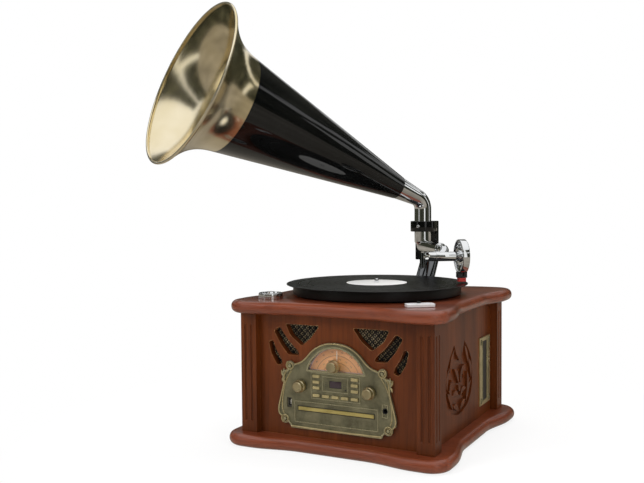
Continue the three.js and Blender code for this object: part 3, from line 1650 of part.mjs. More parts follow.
// Horn: elbow that swivels in the clamp ring, cone and bell.
function horn() {
  const bend = new THREE.Group();
  bend.position.set(pivotX, pivotY, hornBendZ);
  bend.rotation.order = "ZXY";
  bend.rotation.z = THREE.MathUtils.degToRad(hornTurn);
  bend.rotation.x = Math.PI / 2 - THREE.MathUtils.degToRad(hornRise);
  group.add(bend);

  // In this frame Z is the axis of the horn, and the upright pipe leans back from it. The bend leaves
  // both straights where they touch its arc.
  const lean = bend.rotation.x;
  const standing = new THREE.Matrix4().makeRotationX(-lean);
  const pipeBottom = pipeJointZ + fitGap / 2 - hornBendZ;
  const reach = hornBendRadius * Math.tan(lean / 2);
  const arc = [];
  for (let i = 0; i <= hornBendSteps; i++) {
    const a = (i / hornBendSteps) * lean;
    const y = hornBendRadius * (Math.cos(a) - 1);
    arc.push(new THREE.Vector3(0, y, hornBendRadius * Math.sin(a) - reach));
  }
  const pipe = (radius, bottom) =>
    join(
      barZ(radius, 0, 0, bottom, hornBendLap - reach, pipeSides),
      swept(radius, arc, hornBendSteps, pipeSides),
    ).applyMatrix4(standing);
  const coneSpigot = coneStartRadius - hornWall - fitGap;
  const spigotEnd = neckLength + neckSpigot;
  const neckFoot = reach - hornBendLap;
  const boreEnd = coneSpigot - hornWall;
  const outer = join(
    pipe(pipeRadius, pipeBottom),
    barZ(pipeRadius, 0, 0, neckFoot, neckLength, pipeSides, neckEndRadius),
    barZ(coneSpigot, 0, 0, neckLength / 2, spigotEnd, pipeSides),
  );
  const inner = join(
    pipe(pipeBore, pipeBottom - cutOverrun),
    barZ(pipeBore, 0, 0, neckFoot, spigotEnd + cutOverrun, pipeSides, boreEnd),
  );
  add("horn_elbow", cut(outer, inner), chrome, bend);

  const coneStartAt = neckLength + fitGap;
  const cone = turned(
    closedProfile([
      [coneStartRadius - hornWall, coneStartAt],
      [coneStartRadius, coneStartAt],
      [coneEndRadius, coneEndAt],
      [coneEndRadius - hornWall, coneEndAt],
    ]),
    hornSides,
  );
  add("horn_cone", cone, blackLacquer, bend);

  const outside = [];
  const inside = [];
  for (let i = 0; i <= bellSteps; i++) {
    const share = (i / bellSteps) ** bellStepPower;
    const at = between(coneEndAt + fitGap, bellEndAt, share);
    outside.push([bellRadiusAt(share), at]);
    inside.unshift([bellRadiusAt(share) - hornWall, at]);
  }
  const bead = [];
  for (let i = 1; i < beadSteps; i++) {
    const a = between(-Math.PI / 2, Math.PI, i / beadSteps);
    const r = bellRadius - rimBead / 2 + rimBead * Math.cos(a);
    bead.push([r, bellEndAt + rimBead + rimBead * Math.sin(a)]);
  }
  const bell = turned(closedProfile([...outside, ...bead, ...inside]), hornSides);
  add("horn_bell", bell, brightBrass, bend);
}

cabinet();
posts();
frontPanel();
grille("grille_left", -1);
grille("grille_right", 1);
speaker("speaker_left", -1);
speaker("speaker_right", 1);
facePlate();
dial();
controlBoard();
knobs();
buttons();
discPlayer();
sockets();
sidePanel("left_panel", -1);
sidePanel("right_panel", 1);
cassetteDeck();
powerSupply();
backPanel();
turntable();
beltDrive();
speedSwitch();
adaptor();
bracket();
toneArm();
horn();

export default group;
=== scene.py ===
# A nostalgic wooden record player: turntable, tone arm with sound box, swivelling horn, and a cabinet
# with dial, disc drawer, cassette slot and speakers. Sizes are in millimetres until they become meshes.
import json
import math

import bpy
from mathutils import Matrix, Vector


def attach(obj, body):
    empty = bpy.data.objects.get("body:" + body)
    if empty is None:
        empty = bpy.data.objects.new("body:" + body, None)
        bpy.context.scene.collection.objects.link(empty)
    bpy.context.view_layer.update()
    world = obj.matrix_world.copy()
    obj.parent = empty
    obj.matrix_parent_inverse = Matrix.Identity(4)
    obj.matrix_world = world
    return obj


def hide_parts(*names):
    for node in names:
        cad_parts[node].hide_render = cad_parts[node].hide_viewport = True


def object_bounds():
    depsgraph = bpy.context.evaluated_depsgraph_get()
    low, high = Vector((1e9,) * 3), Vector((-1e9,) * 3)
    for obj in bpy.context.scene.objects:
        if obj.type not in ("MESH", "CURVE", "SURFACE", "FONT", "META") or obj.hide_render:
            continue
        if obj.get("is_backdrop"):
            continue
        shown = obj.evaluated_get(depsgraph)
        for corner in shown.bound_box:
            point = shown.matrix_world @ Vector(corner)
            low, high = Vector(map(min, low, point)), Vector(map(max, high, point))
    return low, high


mm = 0.001
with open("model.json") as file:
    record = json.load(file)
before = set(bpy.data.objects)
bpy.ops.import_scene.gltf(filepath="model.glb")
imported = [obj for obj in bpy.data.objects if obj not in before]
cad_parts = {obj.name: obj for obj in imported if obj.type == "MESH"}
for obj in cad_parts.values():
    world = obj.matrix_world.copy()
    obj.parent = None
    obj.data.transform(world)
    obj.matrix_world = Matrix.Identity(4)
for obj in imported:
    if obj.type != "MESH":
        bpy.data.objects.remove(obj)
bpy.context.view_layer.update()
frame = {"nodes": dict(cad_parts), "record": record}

# Camera: placed and turned as the photograph was taken, a little to the right of the front and level
# with the arm, with the same field of view.
camera_place = Vector((585.88, -1312.3, 387.56)) * mm
camera_yaw, camera_pitch, camera_roll = (math.radians(turn) for turn in (27.78, 2.72, -0.48))
photo_width, focal_pixels, sensor = 644, 856.32, 36
looking = Vector((
    -math.sin(camera_yaw) * math.cos(camera_pitch),
    math.cos(camera_yaw) * math.cos(camera_pitch),
    -math.sin(camera_pitch),
))
level = Vector((math.cos(camera_yaw), math.sin(camera_yaw), 0))
upward = level.cross(looking)
across = math.cos(camera_roll) * level + math.sin(camera_roll) * upward
over = -math.sin(camera_roll) * level + math.cos(camera_roll) * upward
bpy.ops.object.select_all(action="DESELECT")
bpy.ops.object.camera_add()
camera = bpy.context.object
camera.matrix_world = (
    Matrix.Translation(camera_place) @ Matrix((across, over, -looking)).transposed().to_4x4()
)
camera.data.sensor_width = sensor
camera.data.lens = focal_pixels * sensor / photo_width
camera.data.clip_end = 60
bpy.context.scene.camera = camera
bpy.context.scene.view_settings.view_transform = "Standard"


# Studio: a pale floor, a white surround, and soft lamps. Polished metal mirrors an open-air setting that
# only reflections see: sunlit ground, and a tall ragged hedge with a few gaps in it and sky above.
def node(tree, kind, values=None, **settings):
    made = tree.nodes.new("ShaderNode" + kind)
    for name, value in settings.items():
        setattr(made, name, value)
    for socket, value in (values or {}).items():
        made.inputs[socket].default_value = value
    return made


def link(tree, *pairs):
    for source, out, target, into in pairs:
        tree.links.new(source.outputs[out], target.inputs[into])


def shader(name, values):
    material = bpy.data.materials.new(name)
    material.use_nodes = True
    surface = material.node_tree.nodes["Principled BSDF"]
    for socket, value in values.items():
        surface.inputs[socket].default_value = value
    return material, material.node_tree, surface


world = bpy.data.worlds.new("studio")
bpy.context.scene.world = world
world.use_nodes = True
air = world.node_tree
air.nodes.clear()
rays = node(air, "LightPath")
shown = node(air, "Math", operation="MAXIMUM")
through = node(air, "Math", operation="MAXIMUM")
bright = node(air, "Background", {"Color": (1, 1, 1, 1), "Strength": 1.0})
lit = node(air, "Background", {"Color": (1, 0.985, 0.96, 1), "Strength": 0.55})
either = node(air, "MixShader")
around = node(air, "OutputWorld")
link(
    air,
    (rays, "Is Camera Ray", shown, 0),
    (rays, "Is Glossy Ray", shown, 1),
    (shown, 0, through, 0),
    (rays, "Is Transmission Ray", through, 1),
    (through, 0, either, 0),
    (lit, 0, either, 1),
    (bright, 0, either, 2),
    (either, 0, around, "Surface"),
)

bpy.ops.mesh.primitive_plane_add(size=30)
floor = bpy.context.object
floor.name = "studio_floor"
floor_paint, tree, surface = shader("studio_white", {
    "Base Color": (0.93, 0.93, 0.93, 1), "Roughness": 0.9, "Specular IOR Level": 0,
})
floor_rays = node(tree, "LightPath")
floor_white = node(tree, "Emission", {"Color": (1, 1, 1, 1), "Strength": 1.0})
floor_share = node(tree, "Math", operation="MULTIPLY")
floor_spot = node(tree, "TexCoord")
floor_reach = node(tree, "VectorMath", operation="LENGTH")
floor_fade = node(tree, "MapRange", {"From Min": 0.25, "From Max": 0.6, "To Min": 0.8, "To Max": 1.0})
floor_mix = node(tree, "MixShader")
link(
    tree,
    (floor_spot, "Object", floor_reach, 0),
    (floor_reach, "Value", floor_fade, "Value"),
    (floor_fade, 0, floor_share, 1),
    (floor_rays, "Is Camera Ray", floor_share, 0),
    (floor_share, 0, floor_mix, 0),
    (surface, 0, floor_mix, 1),
    (floor_white, 0, floor_mix, 2),
    (floor_mix, 0, tree.nodes["Material Output"], "Surface"),
)
floor.data.materials.append(floor_paint)
floor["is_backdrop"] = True


def lamp(name, place, size, power):
    aim = Vector((0, 0, 0.3))
    bpy.ops.object.light_add(type="AREA", location=place)
    light = bpy.context.object
    light.name = name
    light.data.size = size
    light.data.energy = power
    light.visible_glossy = False
    light.rotation_mode = "QUATERNION"
    light.rotation_quaternion = (aim - Vector(place)).to_track_quat("-Z", "Y")


lamp("key_lamp", (-1.6, -2.2, 2.2), 1.4, 58)
lamp("fill_lamp", (2.6, -1.2, 1.5), 1.6, 26)
lamp("top_lamp", (0.2, 0.6, 2.8), 1.6, 42)


def hide_card(card, finish):
    card.visible_camera = False
    card.visible_diffuse = False
    card.visible_shadow = False
    card.visible_transmission = False
    card.data.materials.append(finish)
    card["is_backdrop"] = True


def glow(name, build):
    material = bpy.data.materials.new(name)
    material.use_nodes = True
    tree = material.node_tree
    tree.nodes.clear()
    light = node(tree, "Emission")
    source, out = build(tree)
    end = node(tree, "OutputMaterial")
    link(tree, (source, out, light, "Color"), (light, 0, end, "Surface"))
    return material


def foliage(tree, scale, dark, middle, pale):
    spot = node(tree, "TexCoord")
    leaves = node(tree, "TexNoise", {"Scale": scale, "Detail": 7, "Roughness": 0.62})
    tones = tree.nodes.new("ShaderNodeValToRGB")
    tones.color_ramp.elements.new(0.56)
    stops = ((0.36, dark), (0.55, middle), (0.74, pale))
    for tone, (place, shade) in zip(tones.color_ramp.elements, stops):
        tone.position = place
        tone.color = (*shade, 1)
    link(tree, (spot, "Object", leaves, "Vector"), (leaves, 0, tones, 0))
    return spot, leaves, tones


# Metres: the hedge stands round the object, and sky shows through it between these heights above its
# foot, each with its share of white.
surround_radius, hedge_height, hedge_middle, ground_z = 5, 9, 4.45, 0.0004
sky_bands = ((2.1, 0), (2.25, 0.9), (2.55, 0.9), (2.75, 0), (4.6, 0), (5.0, 1))


def hedge_shades(tree):
    spot, leaves, tones = foliage(
        tree, 1.4, (0.008, 0.009, 0.007), (0.045, 0.047, 0.032), (0.2, 0.2, 0.15)
    )
    ragged = node(tree, "Math", {1: 1.2, 2: -0.6}, operation="MULTIPLY_ADD")
    crown = node(tree, "Math", operation="ADD")
    edge = node(tree, "MapRange", {"From Min": -hedge_height / 2, "From Max": hedge_height / 2})
    sky = node(tree, "MixRGB", {"Color2": (1, 1, 1, 1)})
    rising = node(tree, "VectorMath", {1: (-0.05, -0.03, 1)}, operation="DOT_PRODUCT")
    openings = tree.nodes.new("ShaderNodeValToRGB")
    lights = openings.color_ramp.elements
    for height, amount in sky_bands:
        mark = lights.new(height / hedge_height)
        mark.color = (amount, amount, amount, 1)
    lights[0].color = (0, 0, 0, 1)
    lights[-1].color = (1, 1, 1, 1)
    link(
        tree,
        (spot, "Object", rising, 0),
        (leaves, 0, ragged, 0),
        (rising, "Value", crown, 0),
        (ragged, 0, crown, 1),
        (crown, 0, edge, "Value"),
        (edge, 0, openings, 0),
        (openings, 0, sky, 0),
        (tones, 0, sky, 1),
    )
    return sky, 0


def ground_shades(tree):
    return foliage(tree, 0.8, (0.2, 0.18, 0.15), (0.36, 0.33, 0.28), (0.52, 0.48, 0.42))[-1], 0


bpy.ops.mesh.primitive_cylinder_add(
    vertices=96, radius=surround_radius, depth=hedge_height, end_fill_type="NOTHING",
    location=(0, 0, hedge_middle),
)
hedge = bpy.context.object
hedge.name = "studio_hedge"
hide_card(hedge, glow("studio_hedge", hedge_shades))
bpy.ops.mesh.primitive_circle_add(
    vertices=96, radius=surround_radius, fill_type="NGON", location=(0, 0, ground_z)
)
ground = bpy.context.object
ground.name = "studio_ground"
hide_card(ground, glow("studio_ground", ground_shades))


def pale_shades(tree):
    tone = node(tree, "RGB")
    tone.outputs[0].default_value = (0.95, 0.95, 0.93, 1)
    return tone, 0


pale = glow("studio_gap", pale_shades)
first_turn, gap_radius, gap_foot = -69, 4.6, -0.15
# Each gap has its turn in degrees, its width and its height.
gaps = ((-55, 0.6, 2), (27, 1.3, 6.5), (100, 0.7, 2))
for number, (turn, width, height) in enumerate(gaps):
    azimuth = math.radians(first_turn + turn)
    bpy.ops.mesh.primitive_plane_add(
        size=1,
        location=(gap_radius * math.cos(azimuth), gap_radius * math.sin(azimuth), gap_foot + height / 2),
        rotation=(math.pi / 2, 0, azimuth + math.pi / 2),
    )
    gap = bpy.context.object
    gap.name = f"studio_gap_{number + 1}"
    gap.scale = (width, height, 1)
    hide_card(gap, pale)


# Plinth and top board: solid mahogany with ears at the corners, hollowed sides and a full round edge,
# each sawn from one plank, rounded over with a cutter, stained and varnished.
def paint(red, green, blue):
    """A colour as it is seen on a screen, turned into the light values that a shader takes."""
    shares = [value / 255 for value in (red, green, blue)]
    return (*[v / 12.92 if v <= 0.04045 else ((v + 0.055) / 1.055) ** 2.4 for v in shares], 1)


def effect(name, inputs, outputs):
    tree = bpy.data.node_groups.new(name, "ShaderNodeTree")
    for kind, socket in inputs:
        tree.interface.new_socket(socket, in_out="INPUT", socket_type="NodeSocket" + kind)
    for kind, socket in outputs:
        tree.interface.new_socket(socket, in_out="OUTPUT", socket_type="NodeSocket" + kind)
    return tree, tree.nodes.new("NodeGroupInput"), tree.nodes.new("NodeGroupOutput")


def ramp(tree, stops):
    made = tree.nodes.new("ShaderNodeValToRGB")
    spots = made.color_ramp.elements
    while len(spots) < len(stops):
        spots.new(0.5)
    for spot, (place, shade) in zip(spots, stops):
        spot.position = place
        spot.color = shade if hasattr(shade, "__len__") else (shade, shade, shade, 1)
    return made


def use(tree, group, values):
    made = tree.nodes.new("ShaderNodeGroup")
    made.node_tree = group
    for socket, value in values.items():
        made.inputs[socket].default_value = value
    return made


def roughen(tree, surface, source, out, strength, depth):
    """Feeds a height into the surface's normal; depth is in millimetres."""
    bump = node(tree, "Bump", {"Strength": strength, "Distance": depth * mm})
    link(tree, (source, out, bump, "Height"), (bump, "Normal", surface, "Normal"))


def lay_on(tree, surface, source, out, skin, strength, depth):
    """Feeds a finish's colour, roughness and height into the surface."""
    link(
        tree,
        (source, out, skin, "Vector"),
        (skin, "Color", surface, "Base Color"),
        (skin, "Roughness", surface, "Roughness"),
    )
    roughen(tree, surface, skin, "Height", strength, depth)


def alone():
    if bpy.context.object and bpy.context.object.mode == "EDIT":
        bpy.ops.object.mode_set(mode="OBJECT")
    bpy.ops.object.select_all(action="DESELECT")


def pick(piece):
    alone()
    piece.select_set(True)
    bpy.context.view_layer.objects.active = piece


def named(name):
    piece = bpy.context.object
    piece.name = name
    piece.data.name = name
    return piece


def modify(piece, kind, **settings):
    pick(piece)
    bpy.ops.object.modifier_add(type=kind)
    modifier = piece.modifiers[-1]
    for name, value in settings.items():
        setattr(modifier, name, value)
    bpy.ops.object.modifier_apply(modifier=modifier.name)


def soften(piece, width, segments=2, angle=35, clamp=False, material=-1):
    """Rounds over the hard edges."""
    modify(
        piece, "BEVEL", width=width * mm, segments=segments, limit_method="ANGLE",
        angle_limit=math.radians(angle), use_clamp_overlap=clamp, material=material,
    )


def settle(piece, body, finish, replaced=(), smooth=40):
    """Gives a finished piece its shading, its material, and the body that it moves with."""
    pick(piece)
    bpy.ops.object.shade_smooth_by_angle(angle=math.radians(smooth))
    if finish is not None:
        piece.data.materials.clear()
        piece.data.materials.append(finish)
    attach(piece, body)
    if replaced:
        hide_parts(*replaced)
    return piece


def slab(name, points, depth, turn):
    """A flat outline given a thickness. The turn takes across, up and out into the frame's X, Y and Z."""
    alone()
    bpy.ops.mesh.primitive_circle_add(vertices=len(points), fill_type="NGON")
    piece = named(name)
    for vertex, (a, b) in zip(piece.data.vertices, points):
        vertex.co = Vector(turn(a, b, 0)) * mm
    out = (Vector(turn(0, 0, depth)) - Vector(turn(0, 0, 0))) * mm
    pick(piece)
    bpy.ops.object.mode_set(mode="EDIT")
    bpy.ops.mesh.select_all(action="SELECT")
    bpy.ops.mesh.extrude_region_move(TRANSFORM_OT_translate={"value": out})
    bpy.ops.mesh.select_all(action="SELECT")
    bpy.ops.mesh.normals_make_consistent(inside=False)
    bpy.ops.object.mode_set(mode="OBJECT")
    return piece


grain, into, outof = effect(
    "varnished_grain",
    [("Vector", "Vector"), ("Color", "Dark"), ("Color", "Light")],
    [("Color", "Color"), ("Float", "Roughness"), ("Float", "Height")],
)
long = node(grain, "Mapping", {"Scale": (0.12, 1, 1)})
figure = node(grain, "TexNoise", {"Scale": 16, "Detail": 4, "Roughness": 0.6, "Distortion": 0.9})
fine = node(grain, "Mapping", {"Scale": (0.035, 1, 1)})
fibre = node(grain, "TexNoise", {"Scale": 320, "Detail": 3, "Roughness": 0.7})
bands = ramp(grain, [(0.3, 0), (0.68, 1)])
pores = ramp(grain, [(0.3, 0.62), (0.55, 1)])
plank = node(grain, "MixRGB")
pored = node(grain, "MixRGB", {"Fac": 0.8}, blend_type="MULTIPLY")
polish = node(grain, "MapRange", {"To Min": 0.42, "To Max": 0.3})
link(
    grain,
    (into, "Vector", long, "Vector"),
    (long, 0, figure, "Vector"),
    (figure, 0, bands, 0),
    (into, "Vector", fine, "Vector"),
    (fine, 0, fibre, "Vector"),
    (fibre, 0, pores, 0),
    (bands, 0, plank, 0),
    (into, "Dark", plank, 1),
    (into, "Light", plank, 2),
    (plank, 0, pored, 1),
    (pores, 0, pored, 2),
    (pored, 0, outof, "Color"),
    (fibre, 0, polish, "Value"),
    (polish, 0, outof, "Roughness"),
    (fibre, 0, outof, "Height"),
)


def varnished(name, turn, dark, light, gloss):
    material, tree, surface = shader(name, {
        "Coat Weight": gloss, "Coat Roughness": 0.24, "Specular IOR Level": 0.2,
    })
    spot = node(tree, "TexCoord")
    lay = node(tree, "Mapping", {"Rotation": turn})
    wood = use(tree, grain, {"Dark": dark, "Light": light})
    link(tree, (spot, "Object", lay, "Vector"))
    lay_on(tree, surface, lay, 0, wood, 0.12, 0.4)
    return material


board_mahogany = varnished("board_mahogany", (0, 0, 0), paint(98, 43, 22), paint(126, 60, 34), 1.0)
case_half_width, case_half_depth = 163.5, 170
board_thickness, case_top = 20, 211.3
deck_top = case_top + board_thickness
hollow_steps, ear_steps = 14, 12
ear, front_hollow, side_hollow, round_over = 33, 11.5, 14, 9.7
flat_share, slope_share = 0.29, 0.74


def board_outline(reach):
    points = []
    sides = [
        (case_half_width, case_half_depth, front_hollow, lambda s, r: (s, -r)),
        (case_half_depth, case_half_width, side_hollow, lambda s, r: (r, s)),
        (case_half_width, case_half_depth, front_hollow, lambda s, r: (-s, r)),
        (case_half_depth, case_half_width, side_hollow, lambda s, r: (-r, -s)),
    ]
    for half_case, reach_case, hollow, place in sides:
        half, edge = half_case + reach, reach_case + reach
        flat, end = half * flat_share, half * slope_share
        row = [flat + (end - flat) * i / hollow_steps for i in range(hollow_steps + 1)]
        for x in [-value for value in reversed(row)] + row:
            share = (abs(x) - flat) / (end - flat)
            points.append(place(x, edge - hollow * (1 + math.cos(math.pi * share)) / 2))
        for i in range(ear_steps + 1):
            turn = i / ear_steps * math.pi / 2
            points.append(place(half - ear + ear * math.sin(turn), edge - ear + ear * math.cos(turn)))
    return points


for name, reach, floor_z, source in [
    ("plinth_plank", 24, 0, "base_plinth"), ("deck_plank", 20, case_top, "top_board"),
]:
    board = slab(name, board_outline(reach), board_thickness, lambda a, b, c: (a, b, floor_z + c))
    soften(board, round_over, segments=8, angle=60, clamp=True)
    settle(board, "cabinet", board_mahogany, (source,), smooth=50)


# Corner posts and panels: mahogany, the posts fluted on their outer faces, the panels let in between
# them. The cut-outs for the speakers and the carved fields are routed, and their rounded edges carry a
# pale finish that is partly paler routed wood and partly a painted highlight.
def body_of(source):
    groups = frame["record"]["behaviour"]["bodies"]
    return next(body for body, members in groups.items() if source in members)


def eased(source, name, width, finishes, segments=2, angle=35, smooth=40):
    """A copy of a solid of the frame with its flat faces merged and its edges rounded; a second finish
    goes on the rounded edges."""
    alone()
    piece = frame["nodes"][source].copy()
    piece.data = frame["nodes"][source].data.copy()
    piece.parent = None
    piece.matrix_world = Matrix.Identity(4)
    for key in list(piece.keys()):
        del piece[key]
    bpy.context.collection.objects.link(piece)
    piece.name = piece.data.name = name
    piece.data.materials.clear()
    for finish in finishes:
        piece.data.materials.append(finish)
    pick(piece)
    bpy.ops.object.mode_set(mode="EDIT")
    bpy.ops.mesh.select_all(action="SELECT")
    bpy.ops.mesh.customdata_custom_splitnormals_clear()
    bpy.ops.mesh.remove_doubles(threshold=0.01 * mm)
    bpy.ops.mesh.normals_make_consistent(inside=False)
    bpy.ops.mesh.dissolve_limited(angle_limit=math.radians(0.5))
    bpy.ops.object.mode_set(mode="OBJECT")
    soften(piece, width, segments, angle, True, len(finishes) - 1)
    settle(piece, body_of(source), None, (source,), smooth)
    modify(piece, "WEIGHTED_NORMAL", keep_sharp=True)
    return piece


quarter = math.pi / 2
tall_mahogany = varnished("tall_mahogany", (0, quarter, 0), paint(74, 33, 9), paint(102, 49, 16), 0.1)
# Pale finish for the panels' rounded edges: paler routed wood, and a painted highlight along the edges.
routed_mahogany_painted_highlight = varnished("routed_mahogany_painted_highlight", (0, 0, 0), paint(140, 94, 56), paint(196, 150, 102), 0.1)
for corner in ("front_left", "front_right", "rear_left", "rear_right"):
    eased(f"post_{corner}", f"fluted_post_{corner}", 0.7, [tall_mahogany])
eased("front_panel", "front_board", 1.3, [tall_mahogany, routed_mahogany_painted_highlight], segments=3)
eased("left_panel", "left_board", 0.6, [tall_mahogany, routed_mahogany_painted_highlight])
eased("right_panel", "right_board", 0.6, [tall_mahogany, routed_mahogany_painted_highlight])


# Speaker grilles: brass wire cloth woven on the diagonal, laid over black speaker felt and held behind
# the cut-outs of the front panel. The wires are near-black, with painted highlights on their proudest
# points.
def rod(name, strands, thickness, sides=2):
    """Round wire along rows of points, each with an optional share of the full thickness."""
    alone()
    curve = bpy.data.curves.new(name, "CURVE")
    curve.dimensions = "3D"
    curve.bevel_depth = thickness * mm
    curve.bevel_resolution = sides
    curve.use_fill_caps = True
    for strand in strands:
        spline = curve.splines.new("POLY")
        spline.points.add(len(strand) - 1)
        for point, spot in zip(spline.points, strand):
            point.co = (*[value * mm for value in spot[:3]], 1)
            point.radius = spot[3] if len(spot) > 3 else 1
    piece = bpy.data.objects.new(name, curve)
    bpy.context.collection.objects.link(piece)
    pick(piece)
    bpy.ops.object.convert(target="MESH")
    return named(name)


patina, into, outof = effect(
    "patina",
    [("Vector", "Vector"), ("Color", "Metal"), ("Color", "Tarnish"), ("Float", "Rub_and_glint")],
    [("Color", "Color"), ("Float", "Roughness"), ("Float", "Height")],
)
cloud = node(patina, "TexNoise", {"Scale": 45, "Detail": 6, "Roughness": 0.65})
specks = node(patina, "TexNoise", {"Scale": 900, "Detail": 2})
mask = ramp(patina, [(0.35, 0.45), (0.7, 0.9)])
rub_glint_share = node(patina, "Math", operation="SUBTRACT", use_clamp=True)
tinted = node(patina, "MixRGB")
matt = node(patina, "MapRange", {"To Min": 0.27, "To Max": 0.5})
both = node(patina, "Math", {1: 0.6}, operation="MULTIPLY_ADD")
link(
    patina,
    (into, "Vector", cloud, "Vector"),
    (into, "Vector", specks, "Vector"),
    (cloud, 0, mask, 0),
    (mask, 0, rub_glint_share, 0),
    (into, "Rub_and_glint", rub_glint_share, 1),
    (rub_glint_share, 0, tinted, 0),
    (into, "Metal", tinted, 1),
    (into, "Tarnish", tinted, 2),
    (tinted, 0, outof, "Color"),
    (rub_glint_share, 0, matt, "Value"),
    (matt, 0, outof, "Roughness"),
    (cloud, 0, both, 0),
    (specks, 0, both, 2),
    (both, 0, outof, "Height"),
)


def aged(name, metal, tarnish, rub_glint, bump=0.05, metallic=0.85, raised=None):
    """raised gives the Y of the ground and of the proudest lines, between which the paler metal grows:
    rubbing on the face plate, and a painted highlight on the grille wires.
    """
    material, tree, surface = shader(name, {"Metallic": metallic})
    spot = node(tree, "TexCoord")
    skin = use(tree, patina, {"Metal": metal, "Tarnish": tarnish, "Rub_and_glint": rub_glint})
    lay_on(tree, surface, spot, "Object", skin, bump, 0.3)
    if raised:
        # Paler metal towards the proudest Y: rubbing on the face plate, painted highlights on the grille
        # wires.
        parts = node(tree, "SeparateXYZ")
        low, high = (value * mm for value in raised)
        rise = node(tree, "MapRange", {"From Min": low, "From Max": high, "To Min": rub_glint, "To Max": 0.9})
        link(tree, (spot, "Object", parts, 0), (parts, "Y", rise, "Value"), (rise, 0, skin, "Rub_and_glint"))
    return material


def mottled(name, dark, light, size, values, polish=None, bump=None, detail=3, top=0.7, lay=(1, 1, 1)):
    """A finish that drifts between two tones; polish gives its least and greatest roughness, and bump
    the strength and depth of its unevenness."""
    material, tree, surface = shader(name, values)
    spot = node(tree, "TexCoord")
    along = node(tree, "Mapping", {"Scale": lay})
    drift = node(tree, "TexNoise", {"Scale": size, "Detail": detail})
    tone = ramp(tree, [(0.3, dark), (top, light)])
    link(
        tree,
        (spot, "Object", along, "Vector"),
        (along, 0, drift, "Vector"),
        (drift, 0, tone, 0),
        (tone, 0, surface, "Base Color"),
    )
    if polish:
        matt = node(tree, "MapRange", {"To Min": polish[0], "To Max": polish[1]})
        link(tree, (drift, 0, matt, "Value"), (matt, 0, surface, "Roughness"))
    if bump:
        roughen(tree, surface, drift, 0, *bump)
    return material


brass_light, brass_dark = paint(172, 166, 134), paint(58, 58, 46)
wire_y, wire_sway, wire_radius, wire_step, wire_points = -144.85, 0.36, 0.44, 2.5, 200
# Grille wire: near-black, with pale gold painted on the front of each proud point as a highlight where the
# wires cross.
wire_brass_painted_glints = aged(
    "wire_brass_painted_glints", paint(255, 232, 180), paint(14, 12, 10), -0.4, metallic=0.3, raised=(-145.2, -145.6)
)
grille_low_x, grille_high_x, grille_low_z, grille_high_z = 23.5, 124.5, 124, 200.4
grille_width, grille_height = grille_high_x - grille_low_x, grille_high_z - grille_low_z
felt_y, felt_thickness = -144.3, 0.4
felt_black = mottled(
    "felt_black", paint(10, 9, 9), paint(30, 28, 27), 700, {"Roughness": 0.95, "Sheen Weight": 0.2},
    bump=(0.4, 0.3), top=0.8,
)
for side, sign in (("left", -1), ("right", 1)):
    wires = []
    for slope in (1, -1):
        base = grille_low_z if slope > 0 else grille_high_z
        steps = int((grille_width + grille_height) / (2 * wire_step))
        for k in range(1, steps):
            start = grille_low_x - grille_height + k * 2 * wire_step
            strand = []
            for i in range(wire_points):
                x, z = start + i * wire_step, base + slope * i * wire_step
                if not grille_low_x <= x <= grille_high_x or not grille_low_z <= z <= grille_high_z:
                    continue
                strand.append((sign * x, wire_y + wire_sway * slope * (-1) ** (i + k), z))
            if len(strand) > 1:
                wires.append(strand)
    weave = rod(f"grille_wires_{side}", wires, wire_radius, 0)
    settle(weave, "cabinet", wire_brass_painted_glints, (f"grille_{side}",), smooth=80)
    corners = [(grille_low_x, grille_low_z), (grille_high_x, grille_low_z)]
    corners += [(grille_high_x, grille_high_z), (grille_low_x, grille_high_z)]
    felt = slab(
        f"speaker_felt_{side}", corners, felt_thickness, lambda a, b, c: (sign * a, felt_y + c, b)
    )
    soften(felt, 0.1)
    settle(felt, "cabinet", felt_black)

# Speakers: pressed-steel baskets with black paper cones, screwed to the back of the front panel; they
# are the frame's own solids in a moulded black.
speckle, into, outof = effect(
    "speckle",
    [("Vector", "Vector"), ("Color", "Dark"), ("Color", "Light"), ("Float", "Size")],
    [("Color", "Color"), ("Float", "Roughness"), ("Float", "Height")],
)
dots = node(speckle, "TexNoise", {"Detail": 3})
shade = node(speckle, "MixRGB")
sheen_of = node(speckle, "MapRange", {"To Min": 0.3, "To Max": 0.46})
link(
    speckle,
    (into, "Vector", dots, "Vector"),
    (into, "Size", dots, "Scale"),
    (dots, 0, shade, 0),
    (into, "Dark", shade, 1),
    (into, "Light", shade, 2),
    (shade, 0, outof, "Color"),
    (dots, 0, sheen_of, "Value"),
    (sheen_of, 0, outof, "Roughness"),
    (dots, 0, outof, "Height"),
)


def moulded(name, dark, light, size, values, bump=0.1, depth=0.1):
    material, tree, surface = shader(name, values)
    spot = node(tree, "TexCoord")
    skin = use(tree, speckle, {"Dark": dark, "Light": light, "Size": size})
    lay_on(tree, surface, spot, "Object", skin, bump, depth)
    return material


def dress(finish, *sources):
    """Puts a finish on solids of the frame that keep their own shape."""
    for source in sources:
        mesh = frame["nodes"][source].data
        for index in range(len(mesh.materials)):
            mesh.materials[index] = finish
        if not mesh.materials:
            mesh.materials.append(finish)


black_moulding = moulded("black_moulding", paint(14, 14, 15), paint(34, 34, 35), 700, {})
dress(black_moulding, "speaker_left", "speaker_right")

# Face plate: one antique brass casting with a beaded rim, scrolls at four corners, leaf sprigs and
# stalks beside them, and a thick lip along its foot. It is screwed to the front panel from behind.
plate_front, plate_rim = -160.5, -162.1
cast_brass = aged(
    "cast_brass", brass_light, brass_dark, 0.12, 0.08, 0.8, (plate_front - 0.05, plate_front - 0.8)
)
bead_brass = aged("bead_brass", paint(216, 200, 152), paint(128, 116, 82), 0.5)
eased("face_plate", "face_casting", 0.35, [cast_brass], angle=40)


